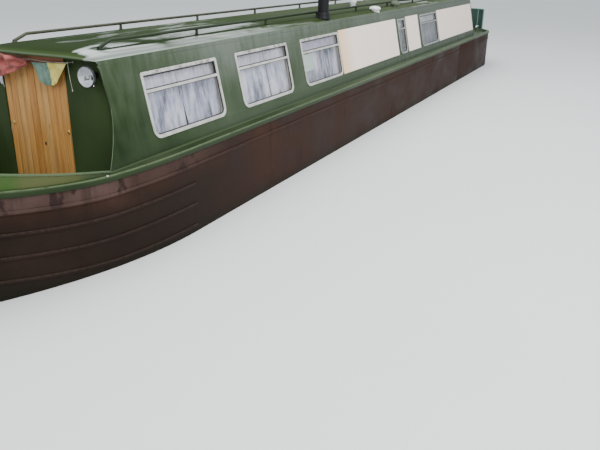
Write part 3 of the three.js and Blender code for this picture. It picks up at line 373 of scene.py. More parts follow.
def cabinFinish(p):
    material, tree, shader, place = newMaterial(
        "cabinGreen", Specular_IOR_Level=0.12, Coat_Weight=0.04, Coat_Roughness=0.3,
    )
    x, y, z = split(tree, place)
    up = fade(tree, z, *p["heights"])
    along = ramp(tree, fade(tree, x, *boat["paintEnds"]), *greys(p["along"]))
    broad = cloud(tree, place, 1.5, (0.7, 1, 1), 4)
    streaks = cloud(tree, place, 11.0, (1, 1, 0.05), 4, 0.6)
    fine = cloud(tree, place, 60.0, (1, 1, 0.6), 4, 0.6)
    # painted sheen: paler upwards and aft, with the paint's random tone and streaks
    paleness = plus(tree, times(tree, up, 0.45), times(tree, along, 0.45))
    paleness = plus(tree, paleness, times(tree, minus(tree, broad, 0.5), 0.45))
    paleness = plus(tree, paleness, times(tree, minus(tree, streaks, 0.5), fade(tree, up, 0.0, 1.0, 0.15, 0.75)))
    # painted light lifting the shade low on the side
    low = times(tree, fade(tree, z, *p["lowBelow"], 0.0, 0.07), fade(tree, x, *p["lowAft"]))
    low = plus(tree, low, fade(tree, z, *p["footBelow"], 0.0, 0.12))
    colour = ramp(tree, plus(tree, paleness, low), *p["palenessGreens"])
    colour = mix(tree, fade(tree, fine, 0.64, 0.76, 0.0, 0.22), colour, p["specks"])
    colour = mix(tree, fade(tree, z, *p["lineBelow"], 0.0, 0.65), colour, p["line"])
    inside = fade(tree, plus(tree, absolute(tree, y), times(tree, z, p["wallSlope"])), *p["withinWall"])
    inside = times(tree, inside, fade(tree, x, *p["liningFrom"]))
    lining = mix(tree, fade(tree, x, *p["frontEndFrom"]), p["lining"], p["frontEnd"])
    colour = mix(tree, inside, colour, lining)
    paintIn(tree, shader, colour, fade(tree, plus(tree, broad, streaks), 0.8, 1.2, 0.3, 0.5))
    bump(tree, shader, plus(tree, times(tree, broad, 3.0), fine), 0.1, 0.003)
    return material


roofPaint = {
    "greens": [
        (0.28, (0.012, 0.0275, 0.0036)), (0.5, (0.0255, 0.0435, 0.0095)), (0.72, (0.05, 0.066, 0.028)),
        (0.95, (0.076, 0.092, 0.05)),
    ],
    "streaks": (0.021, 0.03, 0.008),
    "specks": (0.014, 0.021, 0.006),
    # how far the wet reaches, from the front to the stern
    "reach": [
        (0.0, 0.5), (0.06, 0.5), (0.09, 0.58), (0.17, 0.61), (0.22, 0.59), (0.29, 0.48), (0.36, 0.34),
        (0.61, 0.3), (0.66, 0.51), (0.78, 0.49), (0.84, 0.5),
    ],
    "wet": (0.66, 0.94),
    # painted reflection of the sky in the wet patches, dimmer at the roof's side
    "wetReflection": (0.62, 0.66, 0.61),
    "wetReflectionAtSide": (0.18, 0.215, 0.16),
    "corner": {"at": (6.25, 0.6), "half": (0.62, 0.24)},  # rain lies longest here
    "frontEdge": (6.705, 0.149),  # its x in the middle, and how it curves aft
    "dryFront": (6.25, 6.5),
    "dryStarboard": (0.35, -0.1),
    "sideRun": (2.6, 4.4),  # water along the roof's side, ahead of here
    "railStrip": 0.526,  # painted shadow of each handrail: a dark strip under it, with less wet
    "railMiddle": 0.2,
    "railEnds": (6.2, 6.14),
    # painted shadow around each handrail's fore foot
    "railFoot": {"at": (6.29, 0.475), "half": (0.13, 0.075)},
    "strip": (0.012, 0.023, 0.005),
    "lip": (0.05, 0.08, 0.022),
    # painted highlight along the roof's side edges, with wear, paler forward
    "rimFrom": (0.706, 0.716),
    "rimAbove": (2.222, 2.226),
    "rimAft": (0.12, 0.15, 0.11),
    "rimFore": (0.24, 0.29, 0.23),
    "rimPaleFrom": (3.2, 5.2),
    # painted highlight on the front nose, with wear
    "nose": (0.075, 0.1, 0.06),
    # painted shade under the roof's edges
    "below": (2.2215, 2.2195),
    "underside": (0.012, 0.021, 0.007),
}


def roofFinish(p):
    material, tree, shader, place = newMaterial(
        "roofGreen", Specular_IOR_Level=0.015, Coat_Roughness=0.04, Coat_IOR=2.6,
    )
    x, y, z = split(tree, place)
    broad = cloud(tree, place, 0.9, (0.5, 1.2, 1), 4)
    streaks = cloud(tree, place, 6.0, (0.12, 1, 1), 4, 0.6)
    fine = cloud(tree, place, 34.0, (1, 1, 1), 5, 0.65)
    puddle = cloud(tree, place, 1.7, (0.45, 1.9, 1), 6, 0.62, 0.9)
    off = absolute(tree, y)  # from the middle line
    middle, curve = p["frontEdge"]
    fromEdge = minus(tree, minus(tree, middle, times(tree, times(tree, y, y), curve)), x)
    # rain still lies on the port corner of the front, and dries first along the front edge
    corner = fade(tree, ovalAround(tree, x, y, p["corner"]), 1.3, 0.3, 0.0, 0.5)
    dry = times(tree, fade(tree, x, *p["dryFront"]), fade(tree, off, 0.42, 0.28, 0.0, 0.5))
    dry = plus(tree, dry, fade(tree, y, *p["dryStarboard"], 0.0, 0.12))
    edgeDry = times(tree, fade(tree, fromEdge, 0.16, 0.04, 0.0, 0.5), fade(tree, off, 0.68, 0.6))
    dry = plus(tree, dry, edgeDry)
    wetness = plus(tree, plus(tree, puddle, corner), maths(tree, "MULTIPLY_ADD", streaks, 0.7, -0.2))
    wetness = minus(tree, wetness, dry)
    sideRun = times(tree, fade(tree, off, 0.6, 0.7, 0.0, 0.16), fade(tree, x, *p["sideRun"]))
    wetness = plus(tree, wetness, sideRun)
    reach = ramp(tree, fade(tree, x, *boat["paintEnds"]), *greys(p["reach"]))
    wetness = plus(tree, wetness, minus(tree, reach, 0.5))
    # painted shadow of the handrails, and around their fore feet
    strip = fade(tree, absolute(tree, minus(tree, off, p["railStrip"])), 0.04, 0.014)
    strip = times(tree, strip, fade(tree, absolute(tree, minus(tree, x, p["railMiddle"])), *p["railEnds"]))
    foot = fade(tree, ovalAround(tree, x, off, p["railFoot"]), 1.2, 0.4, 0.0, 0.7)
    strip = maths(tree, "MAXIMUM", strip, foot)
    wet = fade(tree, maths(tree, "MULTIPLY_ADD", strip, -0.36, wetness), *p["wet"])
    # the wet patches carry a painted reflection of the sky
    wetReflection = mix(tree, fade(tree, off, 0.63, 0.68), p["wetReflection"], p["wetReflectionAtSide"])
    paleness = plus(tree, fade(tree, x, 6.6, -4.0, 0.0, 0.45), times(tree, broad, 0.8))
    colour = ramp(tree, paleness, *p["greens"])
    colour = mix(tree, fade(tree, streaks, 0.5, 0.66, 0.0, 0.6), colour, p["streaks"])
    colour = mix(tree, fade(tree, fine, 0.62, 0.75, 0.0, 0.35), colour, p["specks"])
    colour = mix(tree, times(tree, wet, fade(tree, streaks, 0.35, 0.6, 0.95, 0.6)), colour, wetReflection)
    colour = mix(tree, times(tree, strip, 0.75), colour, p["strip"])
    colour = mix(tree, fade(tree, fromEdge, 0.11, 0.03, 0.0, 0.6), colour, p["lip"])
    # painted highlight along the side edges, with wear
    rim = times(tree, fade(tree, off, *p["rimFrom"]), fade(tree, z, *p["rimAbove"]))
    rimColour = mix(tree, fade(tree, x, *p["rimPaleFrom"]), p["rimAft"], p["rimFore"])
    colour = mix(tree, times(tree, rim, fade(tree, fine, 0.3, 0.6, 0.4, 0.85)), colour, rimColour)
    # painted highlight on the front nose, with wear
    colour = mix(tree, times(tree, wearAndLightBy(tree, "wearAndLight"), 0.8), colour, p["nose"])
    # painted shade under the roof's edges
    colour = mix(tree, fade(tree, z, *p["below"]), colour, p["underside"])
    tree.links.new(wet, shader.inputs["Coat Weight"])
    paintIn(tree, shader, colour, fade(tree, wet, 0.0, 1.0, 0.5, 0.12))
    bump(tree, shader, plus(tree, times(tree, broad, 2.0), times(tree, fine, 0.4)), 0.12, 0.003)
    return material


def plateFinish(name, base, pale, dark, edge, specular=0.22):
    material, tree, shader, place = newMaterial(name, Specular_IOR_Level=specular)
    broad = cloud(tree, place, 1.8, (0.6, 1, 1), 4)
    fine = cloud(tree, place, 42.0, (1, 1, 1), 5, 0.65)
    wear = cloud(tree, place, 16.0, (0.5, 0.5, 1), 4, 0.7)
    x = split(tree, place)[0]
    colour = ramp(tree, broad, (0.3, dark), (0.5, base), (0.72, pale))
    # paler aft
    colour = mix(tree, fade(tree, x, 4.5, 0.0, 0.0, 0.45), colour, (0.125, 0.155, 0.098))
    colour = mix(tree, fade(tree, fine, 0.62, 0.75, 0.0, 0.35), colour, dark)
    # painted highlight on the rounded edges, with wear
    wearAndLight = times(tree, wearAndLightBy(tree, "wearAndLight"), fade(tree, wear, 0.34, 0.5, 0.35, 1.0))
    colour = mix(tree, wearAndLight, colour, edge)
    # painted shade on the side deck's outer lip
    colour = mix(tree, wearAndLightBy(tree, "shade"), colour, dark)
    paintIn(tree, shader, colour, fade(tree, broad, 0.3, 0.7, 0.32, 0.55))
    bump(tree, shader, fine, 0.15, 0.002)
    return material


coamingPaint = {
    # from the cabin to the stem
    "along": [
        (0.12, (0.034, 0.052, 0.02)), (0.24, (0.064, 0.076, 0.023)), (0.66, (0.075, 0.085, 0.027)),
        (0.74, (0.034, 0.08, 0.0125)),
    ],
    "from": (6.9, 7.9),
    "clouds": (0.046, 0.068, 0.02),
    "specks": (0.024, 0.034, 0.012),
    "edge": (0.08, 0.115, 0.064),
}


def coamingFinish(p):
    material, tree, shader, place = newMaterial("coamingGreen", Specular_IOR_Level=0.2)
    x = split(tree, place)[0]
    broad = cloud(tree, place, 3.0, (0.6, 0.6, 1.4), 4)
    fine = cloud(tree, place, 42.0, (1, 1, 1), 5, 0.65)
    along = plus(tree, fade(tree, x, *p["from"]), times(tree, minus(tree, broad, 0.5), 0.25))
    colour = ramp(tree, along, *p["along"])
    colour = mix(tree, fade(tree, broad, 0.5, 0.75, 0.0, 0.5), colour, p["clouds"])
    colour = mix(tree, fade(tree, fine, 0.62, 0.75, 0.0, 0.4), colour, p["specks"])
    # painted highlight on the rolled top edge, with wear
    colour = mix(tree, times(tree, wearAndLightBy(tree, "wearAndLight"), 0.6), colour, p["edge"])
    paintIn(tree, shader, colour, fade(tree, broad, 0.3, 0.7, 0.35, 0.6))
    bump(tree, shader, fine, 0.2, 0.002)
    return material


def greenFinish(name, base, pale, dark, roughness=(0.22, 0.4), streak=0.5):
    material, tree, shader, place = newMaterial(
        name, Specular_IOR_Level=0.22, Coat_Weight=0.05, Coat_Roughness=0.25,
    )
    broad = cloud(tree, place, 1.1, (0.6, 1, 1), 4)
    streaks = cloud(tree, place, 9.0, (1, 1, 0.07), 4, 0.6)
    fine = cloud(tree, place, 45.0, (1, 1, 1), 5, 0.6)
    colour = ramp(tree, broad, (0.3, dark), (0.5, base), (0.72, pale))
    colour = mix(tree, times(tree, fade(tree, streaks, 0.5, 0.75), streak), colour, pale)
    colour = mix(tree, fade(tree, fine, 0.66, 0.76, 0.0, 0.3), colour, dark)
    paintIn(tree, shader, colour, fade(tree, plus(tree, broad, streaks), 0.8, 1.2, *roughness))
    bump(tree, shader, plus(tree, times(tree, broad, 2.0), fine), 0.12, 0.003)
    return material


def metalFinish(name, colour, dull, roughness, metallic=1.0, grime=0.3, scale=18.0, marks=None):
    material, tree, shader, place = newMaterial(name, Metallic=metallic)
    broad = cloud(tree, place, scale * 0.3, (1, 1, 1), 4)
    fine = cloud(tree, place, scale, (1, 1, 1), 5)
    coat = mix(tree, times(tree, fade(tree, broad, 0.4, 0.7), grime), colour, dull)
    if marks:
        z = split(tree, place)[2]
        speckle = cloud(tree, place, 24.0, (0.7, 1, 1), 4, 0.7)
        marked = times(tree, fade(tree, z, *marks["from"]), fade(tree, speckle, 0.5, 0.6, 0.0, 0.75))
        coat = mix(tree, marked, coat, marks["colour"])
    paintIn(tree, shader, coat, fade(tree, fine, 0.3, 0.7, *roughness))
    bump(tree, shader, fine, 0.08, 0.001)
    return material


pineSetup = {
    "boardStart": 0.463,
    "boardWidth": 0.0745,
    "grain": [
        (0.28, (0.21, 0.08, 0.015)), (0.42, (0.4, 0.175, 0.04)), (0.55, (0.53, 0.28, 0.08)),
        (0.72, (0.64, 0.4, 0.15)),
    ],
    # each board has a tint of its own
    "tints": [
        (0.0, (0.4, 0.165, 0.038)), (0.35, (0.58, 0.34, 0.105)), (0.7, (0.5, 0.22, 0.048)),
        (1.0, (0.62, 0.4, 0.15)),
    ],
    "lines": (0.21, 0.078, 0.016),
    "joints": (0.1, 0.038, 0.012),
    "knots": (0.1, 0.045, 0.018),
    # painted shade of the roof's edge, with stain: the doors' top is darker and redder
    "headAbove": (2.125, 2.15),
    "head": (0.22, 0.075, 0.04),
    "stains": (0.28, 0.15, 0.07),
}


def pineFinish(p):
    material, tree, shader, place = newMaterial(
        "varnishedPine", Specular_IOR_Level=0.25, Coat_Weight=0.08, Coat_Roughness=0.3,
    )
    _, y, z = split(tree, place)
    boards = maths(tree, "DIVIDE", plus(tree, y, p["boardStart"]), p["boardWidth"])
    board = maths(tree, "FLOOR", boards)
    spread = node(tree, "ShaderNodeTexWhiteNoise", {"W": board}, noise_dimensions="1D").outputs["Value"]
    sockets = {0: times(tree, spread, 7.0), 1: y, 2: plus(tree, z, times(tree, spread, 5.0))}
    shifted = node(tree, "ShaderNodeCombineXYZ", sockets).outputs[0]
    grain = cloud(tree, shifted, 16.0, (1, 2.6, 0.1), 6, 0.6, 0.6)
    lines = cloud(tree, shifted, 60.0, (1, 2.2, 0.05), 3, 0.5, 0.3)
    knots = cloud(tree, shifted, 5.0, (1, 1.2, 0.6), 2, 0.4)
    stain = cloud(tree, place, 3.0, (1, 2, 0.5), 4)
    colour = ramp(tree, grain, *p["grain"])
    colour = mix(tree, fade(tree, lines, 0.48, 0.64, 0.0, 0.7), colour, p["lines"])
    colour = mix(tree, 0.5, colour, ramp(tree, spread, *p["tints"]))
    fromMiddle = absolute(tree, minus(tree, maths(tree, "FRACT", boards), 0.5))
    colour = mix(tree, fade(tree, fromMiddle, 0.465, 0.492, 0.0, 0.85), colour, p["joints"])
    colour = mix(tree, fade(tree, knots, 0.72, 0.78, 0.0, 0.8), colour, p["knots"])
    # painted shade under the roof's edge, with stain, at the doors' top
    colour = mix(tree, fade(tree, z, *p["headAbove"], 0.0, 0.8), colour, p["head"])
    colour = mix(tree, fade(tree, stain, 0.55, 0.75, 0.0, 0.35), colour, p["stains"])
    paintIn(tree, shader, colour, fade(tree, grain, 0.3, 0.7, 0.35, 0.55))
    bump(tree, shader, plus(tree, grain, lines), 0.2, 0.001)
    return material


creamPaint = {
    "cream": (1.0, 0.85, 0.755),
    "streaks": (0.97, 0.805, 0.71),
    "smudges": (0.6, 0.55, 0.49),
    "peach": (0.93, 0.66, 0.38),  # at the fore end of the longest panel
    "peachFrom": (1.2, 1.66),
}


def creamFinish(p):
    material, tree, shader, place = newMaterial("creamPaint", Specular_IOR_Level=0.6)
    x = split(tree, place)[0]
    streaks = cloud(tree, place, 6.0, (1, 1, 0.06), 3)
    smudge = cloud(tree, place, 4.0, (1, 1, 1), 4)
    colour = mix(tree, fade(tree, streaks, 0.4, 0.7, 0.0, 0.5), p["cream"], p["streaks"])
    colour = mix(tree, fade(tree, smudge, 0.6, 0.85, 0.0, 0.22), colour, p["smudges"])
    colour = mix(tree, fade(tree, x, *p["peachFrom"]), colour, p["peach"])
    paintIn(tree, shader, colour, fade(tree, smudge, 0.3, 0.7, 0.35, 0.5))
    bump(tree, shader, smudge, 0.06, 0.001)
    return material


netSetup = {"flatAbove": (1.893, 1.903), "pleatShade": 0.72}


def netFinish(name, thin, cloth, full, head):
    material, tree, shader, place = newMaterial(name, Specular_IOR_Level=0.2, Sheen_Weight=0.3)
    z = split(tree, place)[2]
    folds = cloud(tree, place, 13.0, (1, 1, 0.1), 4, 0.6, 0.4)
    broad = cloud(tree, place, 3.2, (1, 1, 0.55), 3)
    weave = cloud(tree, place, 220.0, (1, 1, 1), 2)
    # painted shade: the dark cabin shows where the cloth lies thin, and the folds are paler
    gathered = plus(tree, times(tree, folds, 0.6), times(tree, broad, 0.4))
    colour = ramp(tree, gathered, (0.36, thin), (0.46, cloth), (0.58, full))
    # behind the top lights the cloth is flat and evenly lit, with painted shade in its pleats
    pleats = cloud(tree, place, 42.0, (1, 1, 0.03), 3, 0.6)
    shade = tuple(netSetup["pleatShade"] * part for part in head)
    flat = mix(tree, fade(tree, pleats, 0.45, 0.62, 0.0, 0.8), head, shade)
    colour = mix(tree, fade(tree, z, *netSetup["flatAbove"], 0.0, 0.9), colour, flat)
    # painted shade in the pleats
    colour = mix(tree, fade(tree, pleats, 0.52, 0.66, 0.0, 0.14), colour, thin)
    paintIn(tree, shader, colour, fade(tree, weave, 0.3, 0.7, 0.8, 1.0))
    bump(tree, shader, plus(tree, weave, folds), 0.4, 0.001)
    return material


def glassFinish(clear=(1.0, 1.0, 1.0), hazy=(0.96, 0.98, 0.98)):
    material, tree, shader, place = newMaterial("windowGlass", Transmission_Weight=1.0, IOR=1.45)
    haze = cloud(tree, place, 6.0, (1, 1, 0.3), 4)
    colour = mix(tree, fade(tree, haze, 0.4, 0.8), clear, hazy)
    paintIn(tree, shader, colour, fade(tree, haze, 0.3, 0.8, 0.0, 0.05))
    return material


reflectorSetup = {
    "middle": (0.65, 2.097),
    "above": (0.62, 0.64, 0.68),  # painted reflection: the sky's side of the bowl is darker
    "below": (1.0, 1.0, 1.0),
    "band": (0.03, 0.03, 0.035),  # the dark bank that the bowl mirrors, drooping to both sides
    "bandDrop": 0.006,
    "bandHalf": (0.021, 0.016),
    "bandEnds": (0.06, 0.05),
    "gap": (0.004, 0.012),
    "flecks": (0.55, 0.56, 0.6),
}


def reflectorFinish(p):
    material, tree, shader, place = newMaterial("lampReflector", Metallic=0.0)
    _, y, z = split(tree, place)
    down = minus(tree, p["middle"][1], z)
    across = absolute(tree, minus(tree, y, p["middle"][0]))
    # painted reflection: grey above the middle, white below, with the mirrored dark bank as a band
    colour = mix(tree, fade(tree, down, -0.004, 0.01), p["above"], p["below"])
    drooping = minus(tree, plus(tree, down, times(tree, across, -0.3)), p["bandDrop"])
    band = fade(tree, absolute(tree, drooping), *p["bandHalf"])
    band = times(tree, band, fade(tree, across, *p["bandEnds"]))
    colour = mix(tree, times(tree, band, fade(tree, across, *p["gap"])), colour, p["band"])
    fleck = cloud(tree, place, 45.0, (1, 1, 1), 3)
    colour = mix(tree, fade(tree, fleck, 0.55, 0.7, 0.0, 0.4), colour, p["flecks"])
    paintIn(tree, shader, colour, fade(tree, fleck, 0.3, 0.7, 0.25, 0.4))
    return material


def perforatedFinish(white=(0.84, 0.85, 0.84), dirty=(0.56, 0.56, 0.52), hole=(0.13, 0.14, 0.13)):
    material, tree, shader, place = newMaterial("perforatedWhite", Specular_IOR_Level=0.3)
    sockets = {"Vector": place, "Scale": 44.0, "Randomness": 0.2}
    holes = node(tree, "ShaderNodeTexVoronoi", sockets).outputs["Distance"]
    grime = cloud(tree, place, 9.0, (1, 1, 1), 4)
    colour = mix(tree, fade(tree, grime, 0.45, 0.7, 0.0, 0.5), white, dirty)
    # painted shade: the holes are dark dots
    colour = mix(tree, fade(tree, holes, 0.36, 0.26, 0.0, 0.9), colour, hole)
    paintIn(tree, shader, colour, fade(tree, grime, 0.3, 0.7, 0.4, 0.6))
    bump(tree, shader, holes, 0.3, 0.002)
    return material


def clothFinish(name, colour, dull, scale=260.0, printed=0.0, ink=(0.045, 0.085, 0.065)):
    material, tree, shader, place = newMaterial(name, Specular_IOR_Level=0.15, Sheen_Weight=0.25)
    sockets = {"Vector": place, "Scale": scale, "Distortion": 1.0}
    weave = node(tree, "ShaderNodeTexWave", sockets).outputs["Fac"]
    crease = cloud(tree, place, 14.0, (1, 1, 1), 4)
    # painted shade of creases, darker where the crease noise is high
    wearAndLight = mix(tree, fade(tree, crease, 0.35, 0.7), colour, dull)
    if printed:
        spots = node(tree, "ShaderNodeTexVoronoi", {"Vector": place, "Scale": 34.0}).outputs["Distance"]
        wearAndLight = mix(tree, fade(tree, spots, 0.3, 0.18, 0.0, printed), wearAndLight, ink)
    paintIn(tree, shader, wearAndLight, fade(tree, weave, 0, 1, 0.75, 0.95))
    bump(tree, shader, plus(tree, weave, times(tree, crease, 2.0)), 0.3, 0.001)
    return material


finishes = {
    "hull": hullFinish(hullPaint),
    "cabin": cabinFinish(cabinPaint),
    "deckGreen": plateFinish(
        "sideDeckGreen", (0.027, 0.042, 0.0165), (0.042, 0.059, 0.028), (0.013, 0.025, 0.008),
        (0.088, 0.122, 0.062), 0.1,
    ),
    "floorGreen": plateFinish(
        "deckFloorGreen", (0.03, 0.044, 0.02), (0.045, 0.06, 0.033), (0.016, 0.026, 0.01),
        (0.08, 0.1, 0.06), 0.14,
    ),
    "roof": roofFinish(roofPaint),
    "bulkhead": greenFinish(
        "bulkheadGreen", (0.022, 0.0405, 0.0085), (0.029, 0.05, 0.0125), (0.015, 0.029, 0.0055),
        (0.55, 0.75), 0.2,
    ),
    "railGreen": greenFinish(
        "railGreen", (0.022, 0.034, 0.014), (0.042, 0.058, 0.028), (0.012, 0.02, 0.007), (0.35, 0.55),
    ),
    "darkRail": greenFinish(
        "darkRailGreen", (0.012, 0.022, 0.007), (0.024, 0.037, 0.0145), (0.006, 0.012, 0.0035),
        (0.45, 0.65),
    ),
    "paleRail": greenFinish(
        "paleRailGreen", (0.052, 0.056, 0.032), (0.1, 0.098, 0.066), (0.024, 0.028, 0.014), (0.45, 0.65),
    ),
    "coaming": coamingFinish(coamingPaint),
    "wingEdgeHighlight": greenFinish(
        "wingEdgeHighlightGreen", (0.058, 0.088, 0.04), (0.085, 0.118, 0.062), (0.034, 0.056, 0.022), (0.4, 0.6),
    ),
    "teal": greenFinish("sternTeal", (0.028, 0.056, 0.045), (0.06, 0.095, 0.08), (0.011, 0.03, 0.023)),
    "paleTeal": greenFinish("sternPaleTeal", (0.11, 0.25, 0.2), (0.17, 0.32, 0.27), (0.06, 0.17, 0.13)),
    "stain": greenFinish(
        "stainedAndShadedWood", (0.3, 0.11, 0.058), (0.38, 0.16, 0.09), (0.19, 0.06, 0.032), (0.4, 0.6),
    ),
    "card": greenFinish(
        "paperCard", (0.62, 0.84, 0.69), (0.72, 0.9, 0.78), (0.56, 0.76, 0.62), (0.6, 0.8), 0.2,
    ),
    "pine": pineFinish(pineSetup),
    "cream": creamFinish(creamPaint),
    "ventGreen": greenFinish(
        "ventGreen", (0.085, 0.11, 0.065), (0.14, 0.165, 0.115), (0.05, 0.07, 0.036), (0.3, 0.5),
    ),
    "net": netFinish(
        "netCurtain", (0.15, 0.15, 0.2), (0.5, 0.51, 0.66), (0.94, 0.94, 1.0), (0.93, 0.88, 1.0),
    ),
    "openNet": netFinish(
        "openNetCurtain", (0.06, 0.06, 0.085), (0.33, 0.33, 0.42), (0.86, 0.86, 0.96), (0.84, 0.79, 0.96),
    ),
    "greyNet": netFinish(
        "greyNetCurtain", (0.1, 0.11, 0.12), (0.19, 0.2, 0.22), (0.32, 0.33, 0.37), (1.0, 1.0, 1.0),
    ),
    "glass": glassFinish(),
    "aluminium": metalFinish(
        "windowMetal", (0.6, 0.59, 0.56), (0.36, 0.345, 0.31), (0.38, 0.6), 0.3, 0.75, 40.0,
        {"from": (2.03, 2.044), "colour": (0.165, 0.135, 0.098)},
    ),
    "dullMetal": metalFinish(
        "dullWindowMetal", (0.34, 0.35, 0.34), (0.2, 0.21, 0.19), (0.4, 0.6), 0.35, 0.6, 40.0,
    ),
    "shadedChrome": metalFinish("lampRim", (0.045, 0.047, 0.05), (0.025, 0.025, 0.025), (0.25, 0.4), 0.8, 0.4),
    "reflector": reflectorFinish(reflectorSetup),
    "perforated": perforatedFinish(),
    "blackSealAndShade": metalFinish("windowSeal", (0.012, 0.012, 0.012), (0.03, 0.03, 0.028), (0.5, 0.75), 0.0),
    "chrome": metalFinish("lampChrome", (0.85, 0.86, 0.88), (0.6, 0.62, 0.64), (0.03, 0.12), 1.0, 0.2),
    "brass": metalFinish("brassFittings", (0.72, 0.52, 0.2), (0.42, 0.28, 0.1), (0.2, 0.4), 1.0, 0.5, 60.0),
    "iron": greenFinish(
        "chimneyIron", (0.007, 0.007, 0.008), (0.018, 0.016, 0.015), (0.004, 0.004, 0.005), (0.5, 0.7), 0.3,
    ),
    "white": metalFinish("whitePaint", (0.78, 0.79, 0.78), (0.52, 0.5, 0.45), (0.3, 0.5), 0.0, 0.4),
    "steel": metalFinish("bareSteel", (0.3, 0.28, 0.26), (0.14, 0.09, 0.06), (0.35, 0.6), 0.8, 0.6),
    "bronze": metalFinish("propellerBronze", (0.5, 0.34, 0.13), (0.2, 0.15, 0.07), (0.25, 0.5), 1.0, 0.6),
    "engine": metalFinish("enginePaint", (0.1, 0.14, 0.12), (0.03, 0.03, 0.03), (0.4, 0.6), 0.1, 0.6),
    "ply": metalFinish("plywood", (0.34, 0.22, 0.12), (0.22, 0.14, 0.07), (0.6, 0.8), 0.0, 0.8, 12.0),
    "pinkCloth": clothFinish("pinkCloth", (0.45, 0.13, 0.112), (0.28, 0.068, 0.06)),
    "tealCloth": clothFinish("tealCloth", (0.19, 0.29, 0.23), (0.07, 0.15, 0.115), 260.0, 0.55),
    "yellowCloth": clothFinish("yellowCloth", (0.74, 0.66, 0.19), (0.52, 0.44, 0.085), 260.0, 0.35),
    "whiteCloth": clothFinish("whiteCloth", (0.72, 0.73, 0.76), (0.48, 0.5, 0.54)),
    "gripWood": metalFinish(
        "tillerWood", (0.125, 0.052, 0.024), (0.06, 0.026, 0.013), (0.25, 0.4), 0.0, 0.8, 14.0,
    ),
    "string": clothFinish("paleString", (0.55, 0.53, 0.46), (0.34, 0.32, 0.27), 600.0),
}

nodeFinish = {
    "hull": "baseplate bow_shell stern_shell stem_bar hull_side_port hull_side_starboard skeg rudder_blade",
    "cabin": "cabin_side_port cabin_side_starboard",
    "railGreen": "tiller_arm sliding_hatch handrail_port handrail_starboard vent_mid",
    "deckGreen": "gunwale",
    "floorGreen": "well_deck_floor foredeck gas_locker_lid",
    "coaming": "bow_coaming",
    "roof": "roof",
    "bulkhead": "front_bulkhead rear_bulkhead rear_door_port rear_door_starboard stern_deck engine_hatch",
    "teal": "stern_rail",
    "pine": "front_door_port front_door_starboard",
    "iron": "chimney",
    "white": "vent_fore vent_aft",
    "chrome": "headlamp",
    "steel": "stern_tube",
    "bronze": "propeller",
    "engine": "engine_block",
    "ply": "cabin_floor",
    "net": "curtains_port curtains_starboard",
    "pinkCloth": "bunting",
    "string": "bunting_tail bunting_tail_knot",
    "aluminium": " ".join(f"window_{k}_{side}" for k in range(1, 6) for side in ("port", "starboard")),
}
for finish, names in nodeFinish.items():
    for name in names.split():
        mesh = nodes[name].data
        mesh.materials.clear()
        mesh.materials.append(finishes[finish])
print("finishes made:", len(finishes))

# Making meshes


def settle(obj, finish, body="hull", slot=None, replaced=(), smooth=35.0):
    mesh = obj.data
    made = bmesh.new()
    made.from_mesh(mesh)
    bmesh.ops.remove_doubles(made, verts=made.verts, dist=1e-5)
    bmesh.ops.recalc_face_normals(made, faces=made.faces)
    for edge in made.edges:
        edge.smooth = len(edge.link_faces) == 2 and edge.calc_face_angle(9.0) < math.radians(smooth)
    for face in made.faces:
        face.smooth = True
    made.to_mesh(mesh)
    made.free()
    mesh.materials.clear()
    mesh.materials.append(finishes[finish])
    if obj.name not in bpy.context.collection.objects:
        addToScene(obj)
    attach(obj, body)
    if replaced:
        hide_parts(*replaced)
    return obj


def meshObject(name, points, faces):
    mesh = bpy.data.meshes.new(name)
    mesh.from_pydata([tuple(p) for p in points], [], faces)
    return bpy.data.objects.new(name, mesh)


def around(sides):
    return [2 * math.pi * k / sides for k in range(sides)]


def gridFaces(across, down):
    wide = across + 1
    starts = [row * wide + k for row in range(down) for k in range(across)]
    return [(a, a + 1, a + wide + 1, a + wide) for a in starts]


def loftFaces(rings, loop=False):
    count = len(rings[0])
    points = [p for ring in rings for p in ring]
    faces = []
    for i in range(len(rings) if loop else len(rings) - 1):
        a, b = i * count, ((i + 1) % len(rings)) * count
        for j in range(count):
            k = (j + 1) % count
            faces.append((a + j, a + k, b + k, b + j))
    if not loop:
        faces.append(tuple(reversed(range(count))))
        faces.append(tuple(range(len(points) - count, len(points))))
    return points, faces


def merged(parts):
    points, faces = [], []
    for morePoints, moreFaces in parts:
        start = len(points)
        points += morePoints
        faces += [tuple(start + i for i in face) for face in moreFaces]
    return points, faces


def turnedFaces(profile, base, axis=(0, 0, 1), sides=32):
    axis = Vector(axis).normalized()
    side = axis.orthogonal().normalized()
    other = axis.cross(side)
    points, faces = [], []
    starts = []
    for radius, height in profile:
        starts.append(len(points))
        centre = Vector(base) + axis * height
        if radius == 0:
            points.append(centre)
            continue
        points += [centre + (side * math.cos(g) + other * math.sin(g)) * radius for g in around(sides)]
    for i in range(len(profile) - 1):
        a, b = starts[i], starts[i + 1]
        for k in range(sides):
            n = (k + 1) % sides
            if profile[i][0] == 0 and profile[i + 1][0] == 0:
                continue
            if profile[i][0] == 0:
                faces.append((a, b + n, b + k))
            elif profile[i + 1][0] == 0:
                faces.append((a + k, a + n, b))
            else:
                faces.append((a + k, a + n, b + n, b + k))
    return points, faces


def filleted(path, radius, steps=6):
    path = [Vector(p) for p in path]
    out = [path[0]]
    for before, corner, after in zip(path, path[1:], path[2:]):
        back, on = (before - corner).normalized(), (after - corner).normalized()
        angle = back.angle(on)
        room = 0.45 * min((before - corner).length, (after - corner).length)
        reach = min(radius / math.tan(angle / 2), room)
        start, end = corner + back * reach, corner + on * reach
        for k in range(steps + 1):
            t = k / steps
            out.append(start * (1 - t) ** 2 + corner * 2 * t * (1 - t) + end * t ** 2)
    return out + [path[-1]]


